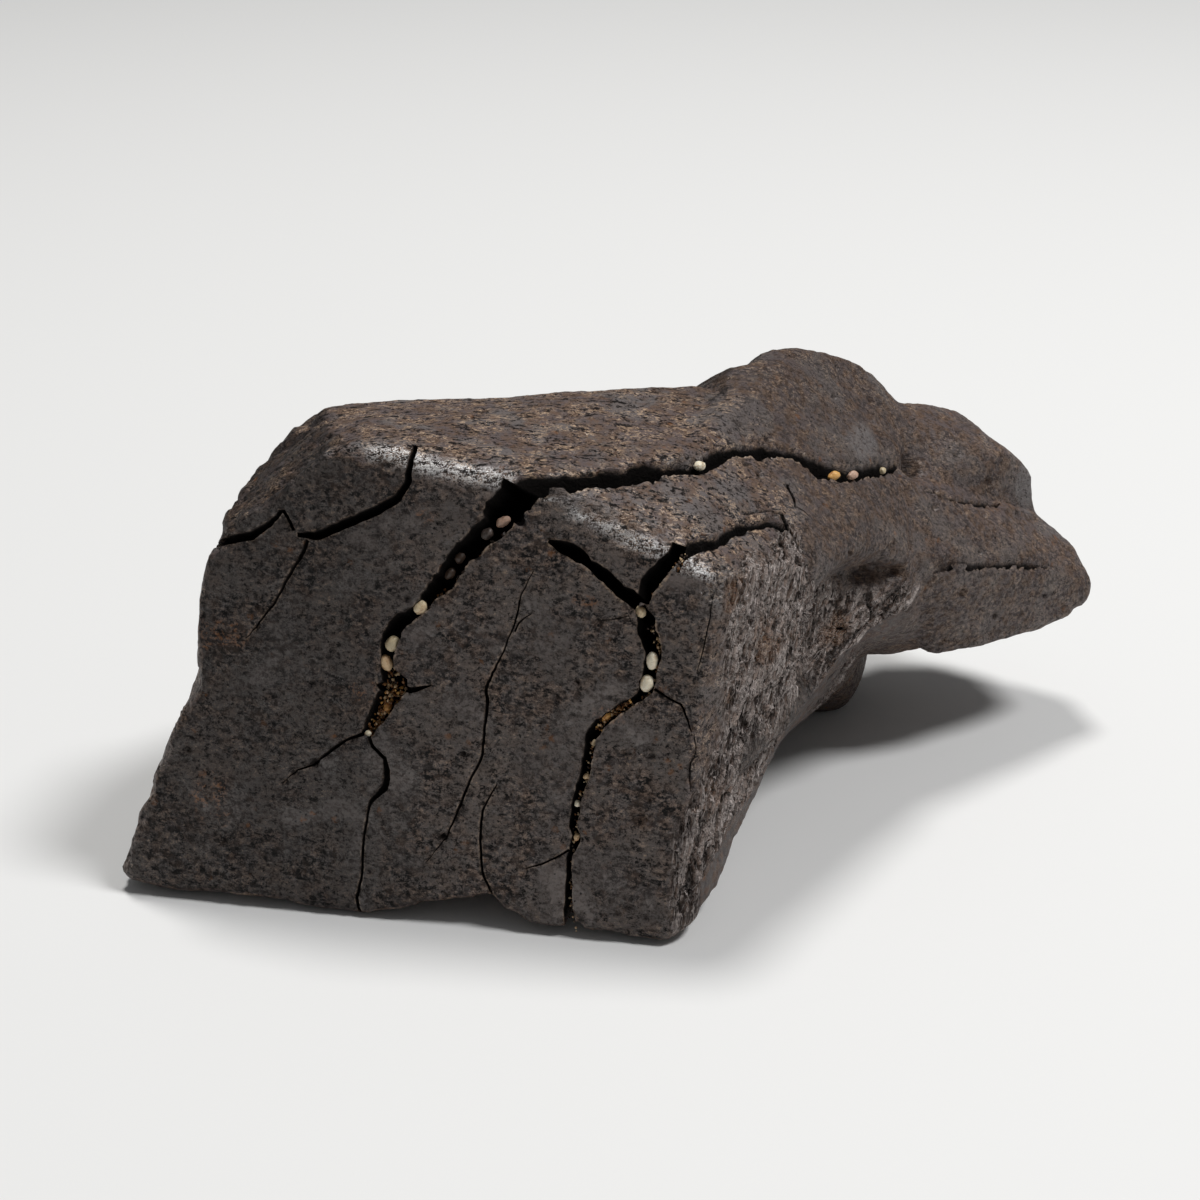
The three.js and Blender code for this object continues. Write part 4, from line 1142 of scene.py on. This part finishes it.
def makeStoneFinish():
    tone = stoneFinish
    material, tree, shader = newMaterial("desert varnish")
    place = tree.nodes.new("ShaderNodeTexCoord").outputs["Object"]
    spot = inMillimetres(tree, place, -plan["shift"])
    lay = put(tree, "ShaderNodeAttribute", attribute_name="lay").outputs["Vector"]
    mark = {name: put(tree, "ShaderNodeAttribute", attribute_name=name).outputs["Fac"]
            for name in ("sunk", "steep", *markPaths)}
    area = regions(tree, spot, lay)
    fine = {  # noises that the finishes share
        "specks": grain(tree, spot, 2.6, 5, 0.72, 0.3),
        "dust": grain(tree, spot, 7.5, 2, 0.6),
        "clouds": grain(tree, spot, 0.22, 4, 0.6),
        "tints": grain(tree, spot, 0.9, 4, 0.65),
    }
    specks = fine["specks"]
    front, frontHeight, smooth = frontFinish(tree, spot, area, fine)
    top, topHeight, crinkles, bright = topFinish(tree, spot, area, fine)
    wall, threads, hairs, raised = wallFinish(tree, spot, area, fine, mark, front)
    colour = joinFinishes(tree, area, fine, mark, front, top, wall)
    colour, pit = addSpots(tree, spot, fine, colour)
    colour, rim, lip, brow = addEdges(tree, spot, area, fine, mark, crinkles, colour)
    tree.links.new(colour, shader.inputs["Base Color"])

    # worn gloss on the front brows, on ridges and on smooth patches
    gloss = total(tree, times(tree, smooth, 0.2), times(tree, rim, 0.3), times(tree, area["crumbly"], 0.6),
                  times(tree, area["wall"], raised, 0.3), times(tree, lip, 0.5), times(tree, bright, 0.4), 0.2)
    crests = ramp(tree, mixed(tree, area["front"], specks, frontHeight), 0.43, 0.54, 0.05, 1)
    gloss = total(tree, times(tree, gloss, crests), brow)
    gloss = times(tree, gloss, ramp(tree, mark["sunk"], 0.12, 0.5, 1, 0))
    tree.links.new(gloss, shader.inputs["Coat Weight"])
    shader.inputs["Coat Roughness"].default_value = tone["polish"]
    shader.inputs["Coat IOR"].default_value = tone["coatIor"]
    shader.inputs["Specular IOR Level"].default_value = tone["reflection"]
    roughness = total(tree, tone["roughness"], times(tree, calc(tree, "SUBTRACT", specks, 0.5), 0.5),
                      times(tree, ramp(tree, mark["sunk"], 0.2, 0.8), 0.35))
    tree.links.new(roughness, shader.inputs["Roughness"])

    # the finest relief
    bare = calc(tree, "SUBTRACT", 1.0, smooth)
    height = total(tree, times(tree, frontHeight, area["front"], calc(tree, "ADD", times(tree, bare, 1.9), 0.3)),
                   times(tree, topHeight, calc(tree, "SUBTRACT", 1.0, area["front"]), 2.6),
                   times(tree, threads, area["wall"], 2.2), times(tree, hairs, area["wall"], 0.9),
                   times(tree, area["crumbly"], specks, 1.2), times(tree, pit, -0.5))
    for socket, depth in (("Normal", tone["bump"]), ("Coat Normal", tone["coatBump"])):
        bump = put(tree, "ShaderNodeBump", {"Strength": 1.0, "Distance": depth, "Height": height})
        tree.links.new(bump.outputs[0], shader.inputs[socket])
    return material


def thinOut(thing, triangles):
    thing.data.calc_loop_triangles()
    share = triangles / len(thing.data.loop_triangles)
    if share < 1:
        applyModifier(thing, "thin out", "DECIMATE", ratio=share)


for cutter in [*cutters, makeGroundCutter()]:
    cutAway(stone, cutter)
stone = keepBiggest(stone)
report("cracks cut")
thinOut(stone, stoneMaking["triangles"])
report("thinned out")
markStone(stone, broadStone)
for helper in (broadStone, *markPaths.values()):
    bpy.data.objects.remove(helper)
report("marks")

stone.data.materials.clear()
stone.data.materials.append(makeStoneFinish())
selectOnly(stone)
bpy.ops.object.shade_smooth_by_angle(angle=math.radians(stoneMaking["smoothUnder"]))
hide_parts("stone")
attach(stone, "root")
report(f"stone finished with {len(stone.data.polygons)} faces")


# sand grains
sandTones = {  # body colour and the colour of its stains
    "white": ((0.74, 0.67, 0.52), (0.50, 0.38, 0.24)),
    "cream": ((0.64, 0.52, 0.34), (0.42, 0.27, 0.14)),
    "tan": ((0.56, 0.40, 0.23), (0.34, 0.18, 0.08)),
    "orange": ((0.62, 0.33, 0.09), (0.34, 0.12, 0.03)),
    "pink": ((0.46, 0.30, 0.22), (0.28, 0.15, 0.10)),
    "olive": ((0.46, 0.38, 0.24), (0.26, 0.18, 0.09)),
    "umber": ((0.055, 0.032, 0.020), (0.025, 0.014, 0.008)),
    "grey": ((0.085, 0.062, 0.052), (0.04, 0.028, 0.022)),
    "rust": ((0.26, 0.115, 0.035), (0.12, 0.04, 0.012)),
}
grainTones = {
    "front": ["pink", "grey", "umber", "umber", "cream", "olive", "tan", "orange", "white", "cream", "white",
              "white", "orange", "cream", "tan", "white", "tan"],
    "top": ["white", "orange", "pink", "olive"],
}
grainMaking = {"grown": 1.08, "dents": 0.09, "rounding": 2}
sandMaking = {
    "stains": (0.46, 0.64),     # range of the cloud in which the stain comes in
    "frost": 0.4,               # most of the pale frost over the body colour
    "roughness": (0.3, 0.62),
    "bump": 0.00005,
    "bumpStrength": 0.6,
    "glow": 0.15,               # light that goes through
    "glowReach": (0.0004, 0.0003, 0.0002),
}


def makeSandGroup():
    # stains and frost over a body colour, shared by all the sand
    tree = bpy.data.node_groups.new("sand frost", "ShaderNodeTree")
    for name, kind in (("Place", "Vector"), ("Body", "Color"), ("Stain", "Color"), ("Frost", "Color")):
        tree.interface.new_socket(name, in_out="INPUT", socket_type=f"NodeSocket{kind}")
    for name, kind in (("Colour", "Color"), ("Roughness", "Float"), ("Height", "Float")):
        tree.interface.new_socket(name, in_out="OUTPUT", socket_type=f"NodeSocket{kind}")
    start, end = tree.nodes.new("NodeGroupInput"), tree.nodes.new("NodeGroupOutput")
    spot = inMillimetres(tree, start.outputs["Place"])
    cloud = grain(tree, spot, 1.6, 4, 0.65)
    frost = grain(tree, spot, 9, 3, 0.6)
    stained = ramp(tree, cloud, *sandMaking["stains"])
    colour = blend(tree, stained, start.outputs["Body"], start.outputs["Stain"])
    frosted = ramp(tree, frost, 0.35, 0.7, 0, sandMaking["frost"])
    colour = blend(tree, frosted, colour, start.outputs["Frost"])
    tree.links.new(colour, end.inputs["Colour"])
    tree.links.new(ramp(tree, frost, 0.3, 0.7, *sandMaking["roughness"]), end.inputs["Roughness"])
    tree.links.new(frost, end.inputs["Height"])
    return tree


sandGroup = makeSandGroup()


def makeSandFinish(name):
    body, stain = sandTones[name]
    material, tree, shader = newMaterial(f"{name} sand")
    group = tree.nodes.new("ShaderNodeGroup")
    group.node_tree = sandGroup
    tree.links.new(tree.nodes.new("ShaderNodeTexCoord").outputs["Object"], group.inputs["Place"])
    frost = tuple(1.3 * part + 0.04 for part in body)
    for socket, colour in (("Body", body), ("Stain", stain), ("Frost", frost)):
        group.inputs[socket].default_value = (*colour, 1)
    tree.links.new(group.outputs["Colour"], shader.inputs["Base Color"])
    tree.links.new(group.outputs["Roughness"], shader.inputs["Roughness"])
    feeds = {"Strength": sandMaking["bumpStrength"], "Distance": sandMaking["bump"], "Height": group.outputs["Height"]}
    tree.links.new(put(tree, "ShaderNodeBump", feeds).outputs[0], shader.inputs["Normal"])
    shader.inputs["Subsurface Weight"].default_value = sandMaking["glow"]
    shader.inputs["Subsurface Radius"].default_value = sandMaking["glowReach"]
    return material


def grainShape(tree, spot, normal):
    return times(tree, calc(tree, "SUBTRACT", grain(tree, spot, 1.3, 3, 0.6), 0.5), 4 * grainMaking["dents"])


def makeGrain(node, tone):
    selectOnly(node)
    bpy.ops.object.duplicate()
    sand = bpy.context.object
    sand.name = node.name.split(".")[0].replace("sand_grain", "lodged_grain")
    bpy.ops.object.mode_set(mode="EDIT")
    bpy.ops.mesh.select_all(action="SELECT")
    bpy.ops.mesh.remove_doubles(threshold=0.000005)
    bpy.ops.object.mode_set(mode="OBJECT")
    bpy.ops.object.origin_set(type="ORIGIN_GEOMETRY")
    sand.scale = [grainMaking["grown"]] * 3
    bpy.ops.object.transform_apply(location=True, rotation=True, scale=True)
    rounding = grainMaking["rounding"]
    applyModifier(sand, "round", "SUBSURF", levels=rounding, render_levels=rounding)
    applyRelief(sand, "dents", grainShape)
    bpy.ops.object.shade_smooth()
    sand.data.materials.clear()
    sand.data.materials.append(sandFinishes[tone])
    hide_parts(node.name)
    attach(sand, "root")


sandFinishes = {name: makeSandFinish(name) for name in sandTones}
for side, tones in grainTones.items():
    for i, tone in enumerate(tones):
        makeGrain(bpy.data.objects[f"sand_grain_{side}_{i + 1:02d}"], tone)
report("sand grains")


# crumbs packed in the cracks
# each fill lies along a line of across and height, within half its width, between two depths behind the face
fills = [
    {"line": [(-13.4, 20.9), (-14.4, 20.6), (-15.2, 19.2), (-15.8, 18), (-16.6, 16.6)], "half": 0.75,
     "deep": (0.7, 1.7), "count": 240, "size": (0.15, 0.42), "tones": ["rust", "rust", "rust", "tan", "orange"]},
    {"line": [(-14.6, 22.6), (-14.9, 21.6), (-14.6, 20.6)], "half": 0.7, "deep": (1.2, 2.4),
     "count": 80, "size": (0.15, 0.4), "tones": ["rust", "umber", "tan"]},
    {"line": [(5.9, 21.3), (4.8, 20.7), (4, 19.9), (3.2, 18.9)], "half": 0.4, "deep": (0.3, 0.9),
     "count": 110, "size": (0.12, 0.34), "tones": ["orange", "rust", "rust", "tan"]},
    {"line": [(2.9, 17.6), (2.4, 14.6), (1.8, 12.2), (1.5, 10), (1.4, 7), (1.3, 3), (1.8, 0.6)], "half": 0.35,
     "deep": (0.3, 0.8), "count": 90, "size": (0.12, 0.32), "tones": ["tan", "cream", "rust", "umber"]},
    {"line": [(7.3, 29.7), (8, 31), (8.8, 32.2), (9.4, 33.2), (9.7, 34)], "half": 0.4, "deep": (0.3, 1.4),
     "count": 190, "size": (0.12, 0.36), "tones": ["umber", "rust", "umber", "tan"]},
    {"line": [(7.4, 28.2), (8.1, 26), (7.9, 23.6), (7, 21.9)], "half": 0.4, "deep": (0.5, 1.5),
     "count": 80, "size": (0.15, 0.36), "tones": ["rust", "umber", "tan"]},
    {"line": [(-4.2, 36), (-6.6, 33.6), (-8.9, 31.2), (-11.4, 28.4), (-13.6, 26.2)], "half": 0.5, "deep": (1.6, 3.2),
     "count": 110, "size": (0.2, 0.5), "tones": ["umber", "rust", "grey"]},
]
crumbMaking = {
    "radius": 0.0005,         # metres, before each crumb takes its size
    "flat": (1.0, 0.8, 0.7),
    "uneven": 0.00022,
    "stations": 40,           # places along a fill's line
    "spread": 0.45,           # how far crumbs stray from it, in halves of its width
    "seed": 11,
}


def makeCrumb():
    bpy.ops.object.select_all(action="DESELECT")
    bpy.ops.mesh.primitive_ico_sphere_add(subdivisions=1, radius=crumbMaking["radius"])
    crumb = bpy.context.object
    crumb.name = "crumb"
    bpy.ops.object.mode_set(mode="EDIT")
    bpy.ops.mesh.select_all(action="SELECT")
    bpy.ops.transform.vertex_random(offset=crumbMaking["uneven"], seed=crumbMaking["seed"])
    bpy.ops.object.mode_set(mode="OBJECT")
    crumb.scale = crumbMaking["flat"]
    bpy.ops.object.transform_apply(location=False, rotation=False, scale=True)
    return crumb


def scatterCrumbs():
    chance = random.Random(crumbMaking["seed"])
    spread = crumbMaking["spread"]
    first = makeCrumb()
    sorts = {}
    for fill in fills:
        line = evenly([Vector((*point, 0)) for point in fill["line"]], crumbMaking["stations"])
        for _ in range(fill["count"]):
            point = chance.choice(line) + Vector((chance.gauss(0, spread), chance.gauss(0, spread), 0)) * fill["half"]
            deep = chance.uniform(*fill["deep"])
            crumb = first.copy()
            crumb.data = first.data.copy()
            crumb.location = place(Vector(onFace(point.x, point.y)) + crackMaking["dive"] * deep)
            crumb.rotation_euler = [chance.uniform(0, 6.28) for _ in range(3)]  # a full turn
            crumb.scale = [chance.uniform(*fill["size"])] * 3
            bpy.context.scene.collection.objects.link(crumb)
            sorts.setdefault(chance.choice(fill["tones"]), []).append(crumb)
    bpy.data.objects.remove(first)
    for tone, crumbs in sorts.items():
        selectOnly(*crumbs)
        bpy.ops.object.join()
        heap = bpy.context.object
        heap.name = f"crumbs_{tone}"
        bpy.ops.object.transform_apply(location=True, rotation=True, scale=True)
        heap.data.materials.clear()
        heap.data.materials.append(sandFinishes[tone])
        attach(heap, "root")


scatterCrumbs()
report("crumbs")
